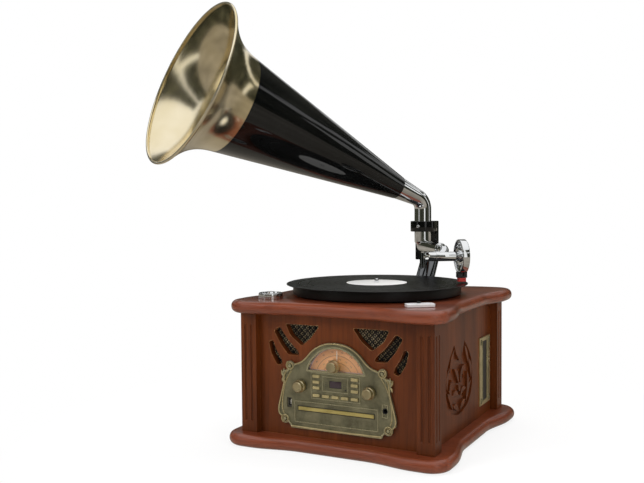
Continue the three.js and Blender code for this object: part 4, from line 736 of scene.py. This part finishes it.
def smooth_path(points, steps):
    """A curve through the points, as short straight runs."""
    ends = [points[0], *points, points[-1]]
    path = []
    for a, b, c, d in zip(ends, ends[1:], ends[2:], ends[3:]):
        for i in range(steps):
            t = i / steps
            path.append(tuple(
                0.5 * (2 * q + (r - p) * t + (2 * p - 5 * q + 4 * r - s) * t * t
                       + (3 * q - p - 3 * r + s) * t ** 3)
                for p, q, r, s in zip(a, b, c, d)
            ))
    return path + [tuple(points[-1])]


crown_bead = [(0, 170.1), (13, 169.1), (23.6, 166), (33.2, 160.8), (41.5, 154), (48.8, 145.9),
              (55.5, 140), (62.5, 136.2), (70.5, 133.8)]
stalk_bead = [(83.2, 124.6), (88.5, 116.5), (89.4, 106), (92.6, 91), (97.2, 74), (99.4, 62),
              (98.2, 54.5), (94.5, 50.4)]
inner_bead = [(76.5, 123.4), (84, 111.5), (88.6, 100), (91.4, 88), (93.4, 74), (93, 62), (90.5, 54.6)]
beads = [smooth_path([(x, plate_rim, z) for x, z in crown_bead[:0:-1]], 6)]
beads[0] = [(-x, y, z) for x, y, z in beads[0]] + [(0, plate_rim, crown_bead[0][1])] + beads[0][::-1]
for sign in (-1, 1):
    for line, depth, share in ((stalk_bead, plate_rim + 0.2, 1), (inner_bead, plate_front - 0.4, 0.8)):
        beads.append([(sign * x, y, z, s) for x, y, z, s in
                      smooth_path([(x, depth, z, share) for x, z in line], 6)])
settle(rod("plate_beads", beads, 1.05, 3), "cabinet", bead_brass, smooth=60)

volutes = []
volute_steps, volute_radius, volute_narrowing = 48, 6.7, 3.6
volute_start, volute_turn = 0.35, 3.1
for centre_x, centre_z, rise in ((78.5, 131.05, 1), (88, 46.8, -1)):
    for sign in (-1, 1):
        volute = []
        for i in range(volute_steps + 1):
            share = i / volute_steps
            angle = math.pi * (volute_start - volute_turn * share)
            radius = volute_radius - volute_narrowing * share
            volute.append((
                sign * (centre_x + radius * math.cos(angle)),
                plate_rim - 0.5 * math.sin(math.pi * share),
                centre_z + rise * radius * math.sin(angle),
                1.1 - 0.5 * share,
            ))
        volutes.append(volute)
settle(rod("plate_volutes", volutes, 0.95, 3), "cabinet", bead_brass, smooth=60)

sprigs = []
sprig_x, sprig_z, sprig_steps = 90.6, 112, 10
for sign in (-1, 1):
    for tip_x, tip_z in ((84.4, 125), (90, 126), (94.8, 122.4), (93.4, 104)):
        sprig = []
        for i in range(sprig_steps + 1):
            share = i / sprig_steps
            bend = math.sin(math.pi * share) * 1.1
            sprig.append((
                sign * (sprig_x + (tip_x - sprig_x) * share + bend), plate_front + 0.3,
                sprig_z + (tip_z - sprig_z) * share, 0.25 + math.sin(math.pi * share ** 0.8) * 0.9,
            ))
        sprigs.append(sprig)
settle(rod("plate_sprigs", sprigs, 1.5, 3), "cabinet", bead_brass, smooth=60)

lip_line = ((-77, 36), (-40, 35.4), (0, 35.2), (40, 35.4), (77, 36))
lip = smooth_path([(x, plate_rim + 0.9, z) for x, z in lip_line], 5)
settle(rod("plate_lip", [lip], 1.5, 4), "cabinet", bead_brass, smooth=60)

# Dial: a card printed in peach with two scales, ticks and plain numbers, in a half-round tray with a
# pale border, behind a clear lens that is clipped into the casting.
dial_z, dial_floor_z, card_radius, shaft_z = 113, 125, 49.6, 136.5
card_y, print_y, number_y, shaft_hole_y = -152.55, -152.84, -152.9, -154.5


def half_round(radius, floor_z, steps=48):
    start = math.asin((floor_z - dial_z) / radius)
    angles = [start + (math.pi - 2 * start) * i / steps for i in range(steps + 1)]
    return [(radius * math.cos(a), dial_z + radius * math.sin(a)) for a in angles]


tray_white = moulded("tray_white", paint(196, 184, 190), paint(216, 206, 210), 300, {"Roughness": 0.4})
eased("dial_scale", "dial_tray", 0.3, [tray_white])
card_print, tree, surface = shader("card_print", {"Roughness": 0.6})
spot = node(tree, "TexCoord")
centred = node(tree, "Mapping", {"Location": (0, 0, -dial_z * mm), "Scale": (1, 0, 1)})
reach = node(tree, "VectorMath", operation="LENGTH")
inked = node(tree, "MapRange", {"From Max": 60 * mm})
rings = ramp(tree, [
    (0, paint(222, 168, 112)), (0.44, paint(216, 158, 102)), (0.452, paint(120, 76, 44)),
    (0.465, paint(218, 160, 104)), (0.62, paint(214, 152, 98)), (0.632, paint(124, 80, 48)),
    (0.646, paint(216, 156, 102)), (0.8, paint(206, 142, 92)), (0.83, paint(178, 150, 160)),
])
fleck = node(tree, "TexNoise", {"Scale": 1400, "Detail": 2})
aged_card = node(tree, "MixRGB", {"Fac": 0.12}, blend_type="MULTIPLY")
link(
    tree,
    (spot, "Object", centred, "Vector"),
    (centred, 0, reach, 0),
    (reach, "Value", inked, "Value"),
    (inked, 0, rings, 0),
    (spot, "Object", fleck, "Vector"),
    (rings, 0, aged_card, 1),
    (fleck, "Color", aged_card, 2),
    (aged_card, 0, surface, "Base Color"),
)
roughen(tree, surface, fleck, 0, 0.05, 0.1)
card_edge = half_round(card_radius, dial_floor_z + 1.2)
card = slab("dial_card", card_edge, 0.3, lambda a, b, c: (a, card_y - c, b))


def combine(piece, operation, *others):
    """Joins other solids to a piece, or cuts them out of it, and removes them."""
    for other in others:
        modify(piece, "BOOLEAN", object=other, operation=operation, solver="EXACT")
        bpy.data.objects.remove(other)


hole_radius, hole_sides = 3.3, 24
hole_turns = [2 * math.pi * i / hole_sides for i in range(hole_sides)]
hole_edge = [(hole_radius * math.cos(a), shaft_z + hole_radius * math.sin(a)) for a in hole_turns]
shaft_hole = slab("shaft_hole", hole_edge, 4, lambda a, b, c: (a, shaft_hole_y + c, b))
combine(card, "DIFFERENCE", shaft_hole)
settle(card, "cabinet", card_print)

print_ink = mottled(
    "print_ink", paint(52, 30, 20), paint(78, 48, 32), 900, {"Roughness": 0.55}, detail=2, top=0.8
)


def joined(name, pieces):
    alone()
    for piece in pieces:
        piece.select_set(True)
    bpy.context.view_layer.objects.active = pieces[0]
    bpy.ops.object.join()
    return named(name)


marks = []
first_mark_rise, tick_gap, tick_half_width = 19, 5.6, 0.14
for radius, count, words, size in (
    (43.6, 37, ("88", "92", "96", "100", "104", "108"), 3.4),
    (32.4, 31, ("54", "60", "70", "90", "120", "160"), 3.0),
):
    low = math.asin(first_mark_rise / radius)
    for i in range(count):
        angle = low + (math.pi - 2 * low) * i / (count - 1)
        long_tick = 1.5 if i % 6 == 0 else 0.8
        outer = radius - tick_gap
        inner = outer - long_tick
        half = tick_half_width / radius
        corners = [(r * math.cos(a), dial_z + r * math.sin(a)) for r, a in (
            (inner, angle - half), (outer, angle - half), (outer, angle + half), (inner, angle + half))]
        marks.append(slab("tick", corners, 0.08, lambda a, b, c: (a, print_y - c, b)))
    for i, word in enumerate(words):
        angle = math.pi - low - (math.pi - 2 * low) * (i + 0.5) / len(words)
        alone()
        bpy.ops.object.text_add()
        text = bpy.context.object
        text.data.body = word
        text.data.size = size * mm
        text.data.extrude = 0.04 * mm
        text.data.align_x, text.data.align_y = "CENTER", "CENTER"
        text.data.resolution_u = 2
        bpy.ops.object.convert(target="MESH")
        text = bpy.context.object
        place = Vector((radius * math.cos(angle), number_y, dial_z + radius * math.sin(angle))) * mm
        upright = Matrix.Rotation(quarter - angle, 4, "Y") @ Matrix.Rotation(quarter, 4, "X")
        text.data.transform(Matrix.Translation(place) @ upright)
        marks.append(text)
settle(joined("dial_marks", marks), "cabinet", print_ink, smooth=20)

clear_lens, tree, surface = shader("clear_lens", {
    "Transmission Weight": 1.0, "Roughness": 0.02, "IOR": 1.3, "Base Color": (0.98, 0.98, 0.97, 1),
})
wipe = node(tree, "TexNoise", {"Scale": 60, "Detail": 2})
spot = node(tree, "TexCoord")
link(tree, (spot, "Object", wipe, "Vector"))
roughen(tree, surface, wipe, 0, 0.01, 0.1)
dress(clear_lens, "dial_lens")

# Control knobs: solid turned brass, stepped at the waist and lacquered, pushed on the shafts. The
# tuning knob carries the dial's pale pointer behind it.
def lathe(name, profile, steps, place=Matrix.Identity(4)):
    """A closed outline of radius and height spun round Z, and put in its place."""
    alone()
    bpy.ops.mesh.primitive_circle_add(vertices=len(profile))
    piece = named(name)
    for vertex, (radius, height) in zip(piece.data.vertices, profile):
        vertex.co = (radius * mm, 0, height * mm)
    pick(piece)
    bpy.ops.object.mode_set(mode="EDIT")
    bpy.ops.mesh.select_all(action="SELECT")
    bpy.ops.mesh.spin(steps=steps, angle=2 * math.pi, center=(0, 0, 0), axis=(0, 0, 1))
    bpy.ops.mesh.select_all(action="SELECT")
    bpy.ops.mesh.remove_doubles(threshold=0.002 * mm)
    bpy.ops.mesh.delete_loose(use_verts=True, use_edges=True, use_faces=False)
    bpy.ops.mesh.select_all(action="SELECT")
    bpy.ops.mesh.normals_make_consistent(inside=False)
    bpy.ops.object.mode_set(mode="OBJECT")
    shift = Matrix(place)
    shift.translation = shift.translation * mm
    piece.data.transform(shift)
    return piece


def rounded(profile, size, steps=3):
    """Takes the corners of an outline off with small curves, leaving points on the axis alone."""
    path = []
    for before, corner, after in zip(profile[-1:] + profile[:-1], profile, profile[1:] + profile[:1]):
        before, corner, after = Vector(before), Vector(corner), Vector(after)
        one, two = before - corner, after - corner
        if corner.x < 0.001 or min(one.length, two.length) < 0.001:
            path.append(tuple(corner))
            continue
        start = corner + one.normalized() * min(size, one.length * 0.45)
        end = corner + two.normalized() * min(size, two.length * 0.45)
        for i in range(steps + 1):
            t = i / steps
            path.append(tuple(start * (1 - t) ** 2 + corner * 2 * t * (1 - t) + end * t * t))
    return path


facing = Matrix.Rotation(quarter, 4, "X")
knob_back_y, knob_radius, flute_count = -163.1, 9.5, 28
knob_profile = [
    (0, 0), (knob_radius, 0), (knob_radius, 6.1), (8.6, 6.9), (8.2, 7.6), (8.2, 12.6), (6.9, 14),
    (5.8, 13.5), (0, 13.3),
]
knob_brass = aged("knob_brass", paint(218, 204, 164), paint(118, 104, 76), 0.5, 0.02, 1)
pointer_white = moulded("pointer_white", paint(226, 218, 200), paint(240, 234, 218), 500, {})
for name, source, x, z in (
    ("tuning_dial_knob", "tuning_knob", 0, shaft_z),
    ("left_side_knob", "volume_knob", -58.8, 101.2),
    ("right_side_knob", "function_knob", 58.8, 101.2),
):
    place = Matrix.Translation((x, knob_back_y, z)) @ facing
    knob = lathe(name, rounded(knob_profile, 0.5), 72, place)
    shaft = lathe("shaft", [(0, -12), (3, -12), (3, 0.5), (0, 0.5)], 32, place)
    flutes = []
    for i in range(flute_count):
        angle = 2 * math.pi * i / flute_count
        side, rise = x + knob_radius * math.cos(angle), z + knob_radius * math.sin(angle)
        flutes.append([(side, knob_back_y - 0.7, rise, 0.7), (side, knob_back_y - 5.5, rise, 1)])
    index_line = [(x, knob_back_y - 13.95, z + 3.2), (x, knob_back_y - 13.95, z + 6.2)]
    ribs = rod("ribs", flutes + [index_line], 0.42, 1)
    settle(joined(name, [knob, shaft, ribs]), body_of(source), knob_brass, (source,), 45)
pointer_y, pointer_top_z = -153.6, 158.5
pointer_edge = [(-0.7, shaft_z), (0.7, shaft_z), (0.45, pointer_top_z), (-0.45, pointer_top_z)]
pointer = slab("tuning_pointer", pointer_edge, 0.8, lambda a, b, c: (a, pointer_y - c, b))
soften(pointer, 0.15)
settle(pointer, body_of("tuning_knob"), pointer_white)

# Push buttons, display and disc drawer: brassed caps on sprung stems, a smoked window over the
# display, and a drawer front in gilt brass that slides out of its slot, whose dark outline is painted
# shade.
button_brass = aged("button_brass", paint(226, 210, 158), paint(146, 134, 96), 0.5)
buttons = [f"button_{side}_{i}" for side in ("left", "right") for i in (1, 2, 3)]
buttons += [f"button_row_{i}" for i in range(1, 6)]
for name in buttons:
    eased(name, f"cap_{name}", 0.55, [button_brass], segments=3)
smoked = moulded("smoked_window", paint(40, 26, 34), paint(52, 34, 42), 260, {"Coat Weight": 0.8}, 0.01)
window_y = -159.8
window_edge = [(-10, 102.2), (10, 102.2), (10, 112.2), (-10, 112.2)]
window = slab("display_window", window_edge, 0.5, lambda a, b, c: (a, window_y - c, b))
soften(window, 0.2)
settle(window, "cabinet", smoked)
dots = []
for x, z in [(s * (14.4 + 2.4 * (i % 2)), 99.5 + 3.4 * (i // 2)) for s in (-1, 1) for i in range(8)]:
    place = Matrix.Translation((x, plate_front, z)) @ facing
    dots.append(lathe("dot", [(0, 0), (0.55, 0), (0.4, 0.5), (0, 0.6)], 14, place))
place = Matrix.Translation((17.4, plate_front, 100.2)) @ facing
lens_dot = lathe("dot", [(0, 0), (1.3, 0), (1.1, 0.6), (0, 0.8)], 24, place)
settle(joined("display_dots", dots + [lens_dot]), "cabinet", black_moulding)
drawer_brass = aged("drawer_brass", paint(222, 204, 132), paint(160, 144, 82), 0.4)
eased("cd_drawer", "disc_tray", 0.4, [drawer_brass])
# A thin black frame round the drawer front stands in for the shade in the gap round it: painted shade.
slot_shade_x, slot_shade_low_z, slot_shade_high_z, slot_shade_y = 65.2, 61.7, 69.1, -160.6
slot_shade = [
    (-slot_shade_x, slot_shade_y, slot_shade_low_z), (slot_shade_x, slot_shade_y, slot_shade_low_z),
    (slot_shade_x, slot_shade_y, slot_shade_high_z), (-slot_shade_x, slot_shade_y, slot_shade_high_z),
    (-slot_shade_x, slot_shade_y, slot_shade_low_z),
]
settle(rod("drawer_slot_shade", [slot_shade], 0.5, 1), "cabinet", black_moulding)

# Inner works: green circuit boards, and the drives, motor and bearing in brushed steel. They are the
# frame's own solids, hidden by the cabinet.
board_green = moulded("board_green", paint(16, 52, 26), paint(30, 84, 42), 240, {"Coat Weight": 0.3})
dress(board_green, "control_board", "power_supply")
brushed = mottled(
    "brushed_steel", paint(128, 128, 126), paint(172, 172, 170), 1200, {"Metallic": 1.0}, (0.28, 0.42),
    detail=2, lay=(0.05, 1, 1),
)
dress(brushed, "cd_mechanism", "cassette_mechanism", "platter_bearing", "platter_motor")

# Sockets: a USB socket in a steel shell with its pale tongue on the left of the plate, and a black
# headphone socket in a small frame on the right, both held from behind.
eased("usb_socket", "usb_shell", 0.2, [brushed])
tongue_y = -152
tongue_edge = [(-81.7, 68.2), (-80.7, 68.2), (-80.7, 77.2), (-81.7, 77.2)]
tongue = slab("usb_tongue", tongue_edge, 3, lambda a, b, c: (a, tongue_y - c, b))
soften(tongue, 0.2)
settle(tongue, "cabinet", pointer_white)
eased("headphone_jack", "headphone_socket", 0.25, [black_moulding])

# Cassette slot: a rubbed brass bezel on the right side with darker ornaments at its corners, and a
# black sprung flap set back in it.
eased("cassette_bezel", "cassette_frame", 0.9, [bead_brass], segments=3)
bezel_x, bezel_y, bezel_z = 153.5, 105, 96
curl_steps, curl_radius, curl_narrowing, curl_y, curl_z = 18, 3.6, 2.2, 21.5, 49.5
line_y, line_z = 14.6, 52
corner_scrolls = []
for side_y in (-1, 1):
    for side_z in (-1, 1):
        for bend in (-1, 1):
            curl = []
            for i in range(curl_steps + 1):
                share = i / curl_steps
                angle = math.pi * (0.1 + 1.5 * share)
                radius = curl_radius - curl_narrowing * share
                along, beside = radius * math.cos(angle), radius * math.sin(angle)
                if bend < 0:
                    along, beside = beside, along
                curl.append((
                    bezel_x, bezel_y + side_y * (curl_y + along),
                    bezel_z + side_z * (curl_z + beside + bend * 1.5), 1 - 0.5 * share,
                ))
            corner_scrolls.append(curl)
for side_y in (-1, 1):
    corner_scrolls.append([(bezel_x, bezel_y + side_y * line_y, bezel_z + s * line_z) for s in (-1, 1)])
ornaments = rod("cassette_ornaments", corner_scrolls, 0.8, 2)
settle(ornaments, "cabinet", cast_brass, smooth=60)
eased("cassette_flap", "slot_flap", 0.3, [black_moulding])

# Back: a fibreboard panel with air slots, and the two-pin mains socket of black plastic let into it.
fibre_tan = moulded("fibre_tan", paint(84, 58, 36), paint(128, 94, 62), 420, {}, 0.3, 0.3)
eased("back_panel", "back_board", 0.4, [fibre_tan])
eased("mains_inlet", "mains_socket", 0.5, [black_moulding])

# Platter: a black-finished metal wheel round a chrome spindle, its top hidden by the record. It is
# driven by a rubber belt from a small motor under the deck.
disc_y = -5
disc_place = Matrix.Translation((0, disc_y, 0))
platter_black = moulded(
    "platter_black", paint(6, 6, 6), paint(15, 15, 15), 500, {"Specular IOR Level": 0.35}
)
platter_profile = [
    (0, 214.3), (3.6, 214.3), (3.6, 232.4), (11, 232.4), (11, 242.3), (58, 242.3), (58, 234.3),
    (62, 234.3), (62, 242.3), (132, 242.3), (132, 233.6), (140, 233.6), (140, 248.8), (3.6, 248.8),
    (3.6, 248.8), (0, 248.8),
]
platter = lathe("platter_wheel", rounded(platter_profile, 0.9), 160, disc_place)
settle(platter, "platter", platter_black, ("platter",), 35)
chrome = mottled(
    "chrome", paint(222, 224, 226), paint(238, 239, 240), 30, {"Metallic": 1.0}, (0.03, 0.09)
)
spindle_profile = [(0, 249), (3.6, 249), (3.6, 255.9), (2.1, 257.4), (0, 257.4)]
spindle = lathe("centre_spindle", rounded(spindle_profile, 0.6), 48, disc_place)
settle(spindle, "platter", chrome)
dress(platter_black, "motor_pulley")
rubber = moulded("belt_rubber", paint(20, 20, 20), paint(34, 34, 33), 900, {})
dress(rubber, "drive_belt")

# Record: a pressed black disc with fine grooves, a raised rim, and a plain white paper label. It lies
# on the platter over the spindle.
vinyl, tree, surface = shader("vinyl", {"Base Color": paint(5, 5, 6), "Specular IOR Level": 0.3})
spot = node(tree, "TexCoord")
centred = node(tree, "Mapping", {"Location": (0, -disc_y * mm, 0), "Scale": (1, 1, 0)})
reach = node(tree, "VectorMath", operation="LENGTH")
grooves_per_metre = 4200
turns = node(tree, "Math", {1: grooves_per_metre}, operation="MULTIPLY")
wave = node(tree, "Math", operation="SINE")
tracks = node(tree, "TexNoise", {"Scale": 110, "Detail": 4}, noise_dimensions="1D")
track_matt = node(tree, "MapRange", {"To Min": 0.2, "To Max": 0.42})
link(
    tree,
    (spot, "Object", centred, "Vector"),
    (centred, 0, reach, 0),
    (reach, "Value", turns, 0),
    (turns, 0, wave, 0),
    (reach, "Value", tracks, "W"),
    (tracks, 0, track_matt, "Value"),
    (track_matt, 0, surface, "Roughness"),
)
roughen(tree, surface, wave, 0, 0.25, 0.1)
record_profile = [(3.7, 248.8), (150, 248.8), (150.75, 249.2), (150.75, 249.9), (150, 250.3), (147, 250.1)]
first_band, last_band, band_step = 145.5, 58, 12.5
radius = first_band
while radius > last_band:
    record_profile += [(radius, 250.12), (radius - 0.5, 250.02), (radius - 1, 250.12)]
    radius -= band_step
record_profile += [(51, 250.15), (3.7, 250.15)]
disc = lathe("pressed_record", record_profile, 200, disc_place)
settle(disc, "platter", vinyl, ("record",), 30)
label_paper = moulded("label_paper", paint(244, 243, 241), paint(253, 253, 251), 900, {}, 0.05)
label_profile = [(3.7, 250.14), (50.2, 250.14), (50.5, 250.34), (3.7, 250.48)]
label = lathe("record_label", label_profile, 128, disc_place)
settle(label, "platter", label_paper, smooth=30)

# Speed switch and centre adaptor: a chromed bar with a black slider at the front right of the deck,
# and a chromed, ribbed centre piece for small records in its seat at the front left.
bar_metal = moulded("bar_metal", paint(226, 226, 228), paint(244, 244, 246), 60, {"Metallic": 0.45}, 0.01)
eased("speed_switch", "speed_bar", 0.8, [bar_metal], segments=4)
eased("speed_slider", "speed_button", 0.35, [black_moulding])
adaptor_x, adaptor_y, rib_radius, rib_count = -130, -133, 19.0, 40
adaptor_place = Matrix.Translation((adaptor_x, adaptor_y, 0))
adaptor_profile = [
    (3.8, 230.1), (19.2, 230.1), (19.2, 239.5), (18.1, 240.6), (15.2, 240.6), (13, 238.4), (8.2, 238.4),
    (6, 242.2), (3.8, 242.2),
]
ring = lathe("ring", rounded(adaptor_profile, 0.7), 96, adaptor_place)
ribs = []
for i in range(rib_count):
    angle = 2 * math.pi * i / rib_count
    x, y = adaptor_x + rib_radius * math.cos(angle), adaptor_y + rib_radius * math.sin(angle)
    ribs.append([(x, y, 232), (x, y, 238.8)])
adaptor = joined("centre_adaptor", [ring, rod("ribs", ribs, 0.5, 1)])
settle(adaptor, "adaptor", chrome, ("adaptor_45",), 45)

# Bracket: a leaning dark-chromed column that is bolted to the deck and carries the arm's pivot, and a
# black bar on top of it whose ring clamps the upright pipe with one screw.
pivot_x, pivot_y, arm_z = 17.3, 165, 304
column_x, column_y, column_top, column_lean = 22, 153, 276.7, 34
column_height = column_top - deck_top
lean = Matrix((
    (1, 0, 0, column_x),
    (0, 1, column_lean / column_height, column_y),
    (0, 0, 1, deck_top),
    (0, 0, 0, 1),
))
foot = [(0, 0), (17.5, 0), (17.0, column_height), (0, column_height)]
column = lathe("column", rounded(foot, 1.2), 64, lean)
boss_foot_z, boss_top_z, socket_floor_z, boss_radius, socket_radius = 258.6, 290.6, 283.3, 6, 3.8
boss_place = Matrix.Translation((pivot_x, pivot_y, 0))
boss_outline = [
    (0, boss_foot_z), (boss_radius, boss_foot_z), (boss_radius, boss_top_z), (0, boss_top_z),
]
boss = lathe("boss", rounded(boss_outline, 0.6), 56, boss_place)
combine(column, "UNION", boss)
socket_outline = [
    (0, socket_floor_z), (socket_radius, socket_floor_z), (socket_radius, boss_top_z + 1),
    (0, boss_top_z + 1),
]
socket = lathe("socket", socket_outline, 48, boss_place)
combine(column, "DIFFERENCE", socket)
column.name = column.data.name = "pivot_column"
dark_chrome = mottled(
    "dark_chrome", paint(92, 94, 96), paint(118, 120, 122), 24, {"Metallic": 1.0}, (0.05, 0.12)
)
settle(column, "cabinet", dark_chrome, ("bracket_column",), 35)
lacquer = mottled(
    "black_lacquer", paint(2, 3, 3), paint(9, 10, 10), 14,
    {"Coat Weight": 1.0, "Coat Roughness": 0.02, "Roughness": 0.4, "Specular IOR Level": 0.05},
    bump=(0.02, 0.2), top=0.75,
)
bar_y, bar_depth, bar_half_width, bar_top, ring_foot = 181, 10, 21.5, 349, 330


def bar_face(foot):
    left, right = pivot_x - bar_half_width, pivot_x + bar_half_width
    return [(left, foot), (right, foot), (right, bar_top), (left, bar_top)]


bar = slab("bar", bar_face(column_top), bar_depth, lambda a, b, c: (a, bar_y + c, b))
soften(bar, 1.4, 3)
bridge = slab("bridge", bar_face(ring_foot), 17.5, lambda a, b, c: (a, pivot_y + c, b))
soften(bridge, 1.0, 2)
ring_place = Matrix.Translation((pivot_x, pivot_y, ring_foot))
ring = lathe("ring", rounded([(14, 0), (22.5, 0), (22.5, 19), (14, 19)], 0.9), 80, ring_place)
bore = lathe("bore", [(0, -4), (15.7, -4), (15.7, 24), (0, 24)], 80, ring_place)
combine(bar, "UNION", bridge, ring)
combine(bar, "DIFFERENCE", bore)
bar.name = bar.data.name = "clamp_bar"
settle(bar, "cabinet", lacquer, ("bracket_arm",), 35)
screw_y, screw_z = 142.5, 339.5
screw_profile = [(0, -3), (3.2, -3), (3.2, 2.6), (2.4, 3.2), (1.4, 3.2), (1.4, 2), (0, 2)]
screw_place = Matrix.Translation((pivot_x, screw_y, screw_z)) @ facing
screw = lathe("clamp_screw", rounded(screw_profile, 0.3), 32, screw_place)
settle(screw, "cabinet", chrome)

# Tone arm: chromed brass, an upright pipe that turns in the ring and on its pin, drawn in at the foot
# to a small ball, with a tapered arm out of it.
arm_turn = math.radians(-54)
arm_frame = Matrix.Translation((pivot_x, pivot_y, arm_z)) @ Matrix.Rotation(arm_turn, 4, "Z")
lying = Matrix.Rotation(quarter, 4, "Y")
pipe_radius, ball_radius, shoulder, stub_top = 15.3, 11.4, 8, 35.3
shoulder_row = []
for i in range(9):
    share = i / 8
    widen = share * share * (3 - 2 * share)
    shoulder_row.append((ball_radius + (pipe_radius - ball_radius) * widen, shoulder * share))
stub = lathe("stub", [(0, 0), *shoulder_row, (pipe_radius, stub_top), (0, stub_top)], 72, arm_frame)
ball_row = [(ball_radius * math.cos(a), ball_radius * math.sin(a))
            for a in [-quarter + math.pi * i / 28 for i in range(29)]]
ball = lathe("ball", ball_row, 72, arm_frame)
taper_start, taper_end, arm_reach, pin_radius, pin_foot = 10.8, 9.6, 112, 3.5, -20.4
taper_outline = [(0, 0), (taper_start, 0), (taper_end, arm_reach), (0, arm_reach)]
taper = lathe("taper", taper_outline, 64, arm_frame @ lying)
pin = lathe("pin", [(0, pin_foot), (pin_radius, pin_foot), (pin_radius, 0), (0, 0)], 32, arm_frame)
combine(stub, "UNION", ball, taper, pin)
stub.name = stub.data.name = "arm_tube"
settle(stub, "tonearm", chrome, ("tonearm_tube",), 35)

# Gooseneck and sound box: a chromed tube that curls round to the back of the sound box, which is a
# spun disc with a bright rim and a pierced face. The cartridge hangs from a carrier at its foot.
neck_start, bend_start, neck_bend, neck_depth, neck_low, neck_radius = 112.3, 136.3, 11, 14.7, -18.3, 7.7
head_along, head_beside, head_drop = 169.3, 20.3, -9.5
neck = [(neck_start, 0, 0)]
for i in range(9):
    share = i / 8
    a = share * quarter
    along, beside = bend_start + neck_bend * math.sin(a), neck_bend * (math.cos(a) - 1)
    neck.append((along, beside, head_drop * (1 - math.cos(share * math.pi)) / 2))
for i in range(17):
    a = math.pi * (1 + i / 16)
    along = head_along - neck_bend + neck_bend * math.cos(a)
    neck.append((along, neck_low + neck_depth * math.sin(a), head_drop))
neck.append((head_along, 14.0, head_drop))
turned_neck = [tuple((arm_frame @ Vector(point))) for point in smooth_path(neck, 2)]
gooseneck = rod("gooseneck_tube", [turned_neck], neck_radius, 8)
collar_profile = rounded(
    [(0, neck_start), (10.4, neck_start), (10.4, 116.3), (7.5, 116.9), (0, 116.9)], 0.8
)
collar = lathe("collar", collar_profile, 56, arm_frame @ lying)
settle(joined("gooseneck_tube", [gooseneck, collar]), "sound_head", chrome, ("gooseneck",), 50)

head_spot = Matrix.Translation((head_along, head_beside, head_drop))
head_frame = arm_frame @ head_spot @ Matrix.Rotation(quarter, 4, "Z") @ lying
box_profile = [
    (0, -4), (25, -4), (25, -6), (27, -6), (28, -5), (28, 5), (27, 6), (25, 6), (25, 4), (0, 4),
]
sound_box = lathe("sound_box", rounded(box_profile, 0.6), 112, head_frame)
hub = lathe("hub", rounded([(0, -6.2), (10, -6.2), (10, 6), (0, 6)], 0.8), 56, head_frame)
combine(sound_box, "UNION", hub)
hole_count, hole_circle = 6, 17.5
for i in range(hole_count):
    a = (i + 0.5) / hole_count * 2 * math.pi
    spoke = head_frame @ Matrix.Translation((hole_circle * math.cos(a), hole_circle * math.sin(a), 0))
    hole = lathe("hole", rounded([(0, -9), (4.4, -9), (4.4, -2), (0, -2)], 0.3), 28, spoke)
    combine(sound_box, "DIFFERENCE", hole)
settle(sound_box, "sound_head", chrome, ("soundbox",), 35)
eased("cartridge", "cartridge_body", 0.5, [black_moulding])
stylus_red = moulded("stylus_red", paint(150, 18, 14), paint(192, 34, 26), 400, {"Coat Weight": 0.4})
eased("stylus", "stylus_holder", 0.5, [stylus_red])

# Horn: a chromed elbow on the upright pipe, a spun black cone, and a polished brass bell with a
# rolled rim, pushed together and free to swivel in the clamp ring.
horn_z, horn_turn = 387, math.radians(-31.3)
bend_radius, bend_turn, bend_steps = 24, math.radians(67.8), 20
upright_frame = Matrix.Translation((pivot_x, pivot_y, horn_z)) @ Matrix.Rotation(horn_turn, 4, "Z")
horn_frame = upright_frame @ Matrix.Rotation(bend_turn, 4, "X")
bend_reach = bend_radius * math.tan(bend_turn / 2)
pipe_foot, pipe_middle = -47.35, -30
horn_line = [upright_frame @ Vector((0, 0, height)) for height in (pipe_foot, pipe_middle)]
for i in range(bend_steps + 1):
    a = bend_turn * i / bend_steps
    out, height = bend_radius * (math.cos(a) - 1), bend_radius * math.sin(a) - bend_reach
    horn_line.append(upright_frame @ Vector((0, out, height)))
widths = [1] * len(horn_line)
socket_steps, socket_end, socket_width = 6, 62.3, 20.4
for i in range(1, socket_steps + 1):
    share = i / socket_steps
    horn_line.append(horn_frame @ Vector((0, 0, bend_reach + (socket_end - bend_reach) * share)))
    widths.append(1 + (socket_width / pipe_radius - 1) * share)
strand = [(*point, width) for point, width in zip(horn_line, widths)]
pipe = rod("horn_pipe", [strand], pipe_radius, 14)
settle(pipe, "horn", chrome, ("horn_elbow",), 60)

wall, cone_foot_radius, cone_top_radius, cone_top = 1.2, 21, 82, 412
cone_profile = [
    (cone_foot_radius - wall, socket_end), (cone_foot_radius, socket_end),
    (cone_top_radius, cone_top), (cone_top_radius - wall, cone_top),
]
cone = lathe("horn_barrel", cone_profile, 160, horn_frame)
settle(cone, "horn", lacquer, ("horn_cone",), 30)

bell_steps, rim_steps, rim_bead, bell_radius, bell_foot, bell_mouth = 36, 24, 2.2, 136, 412.3, 487.8
flare = []
for i in range(bell_steps + 1):
    share = i / bell_steps
    radius = cone_top_radius + (bell_radius - cone_top_radius) * (0.26 * share + 0.74 * share ** 2.6)
    flare.append((radius, bell_foot + (bell_mouth - bell_foot) * share))
rim = []
for i in range(1, rim_steps):
    a = -quarter + 1.5 * math.pi * i / rim_steps
    out = bell_radius - rim_bead / 2 + rim_bead * math.cos(a)
    rim.append((out, bell_mouth + rim_bead + rim_bead * math.sin(a)))
lining = [(radius - wall, height) for radius, height in reversed(flare)]
bell = lathe("horn_mouth_bell", flare + rim + lining, 192, horn_frame)
bell_brass = mottled(
    "bell_brass", paint(228, 212, 170), paint(252, 242, 218), 7, {"Metallic": 1.0}, (0.12, 0.26)
)
settle(bell, "horn", bell_brass, ("horn_bell",), 60)

low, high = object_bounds()
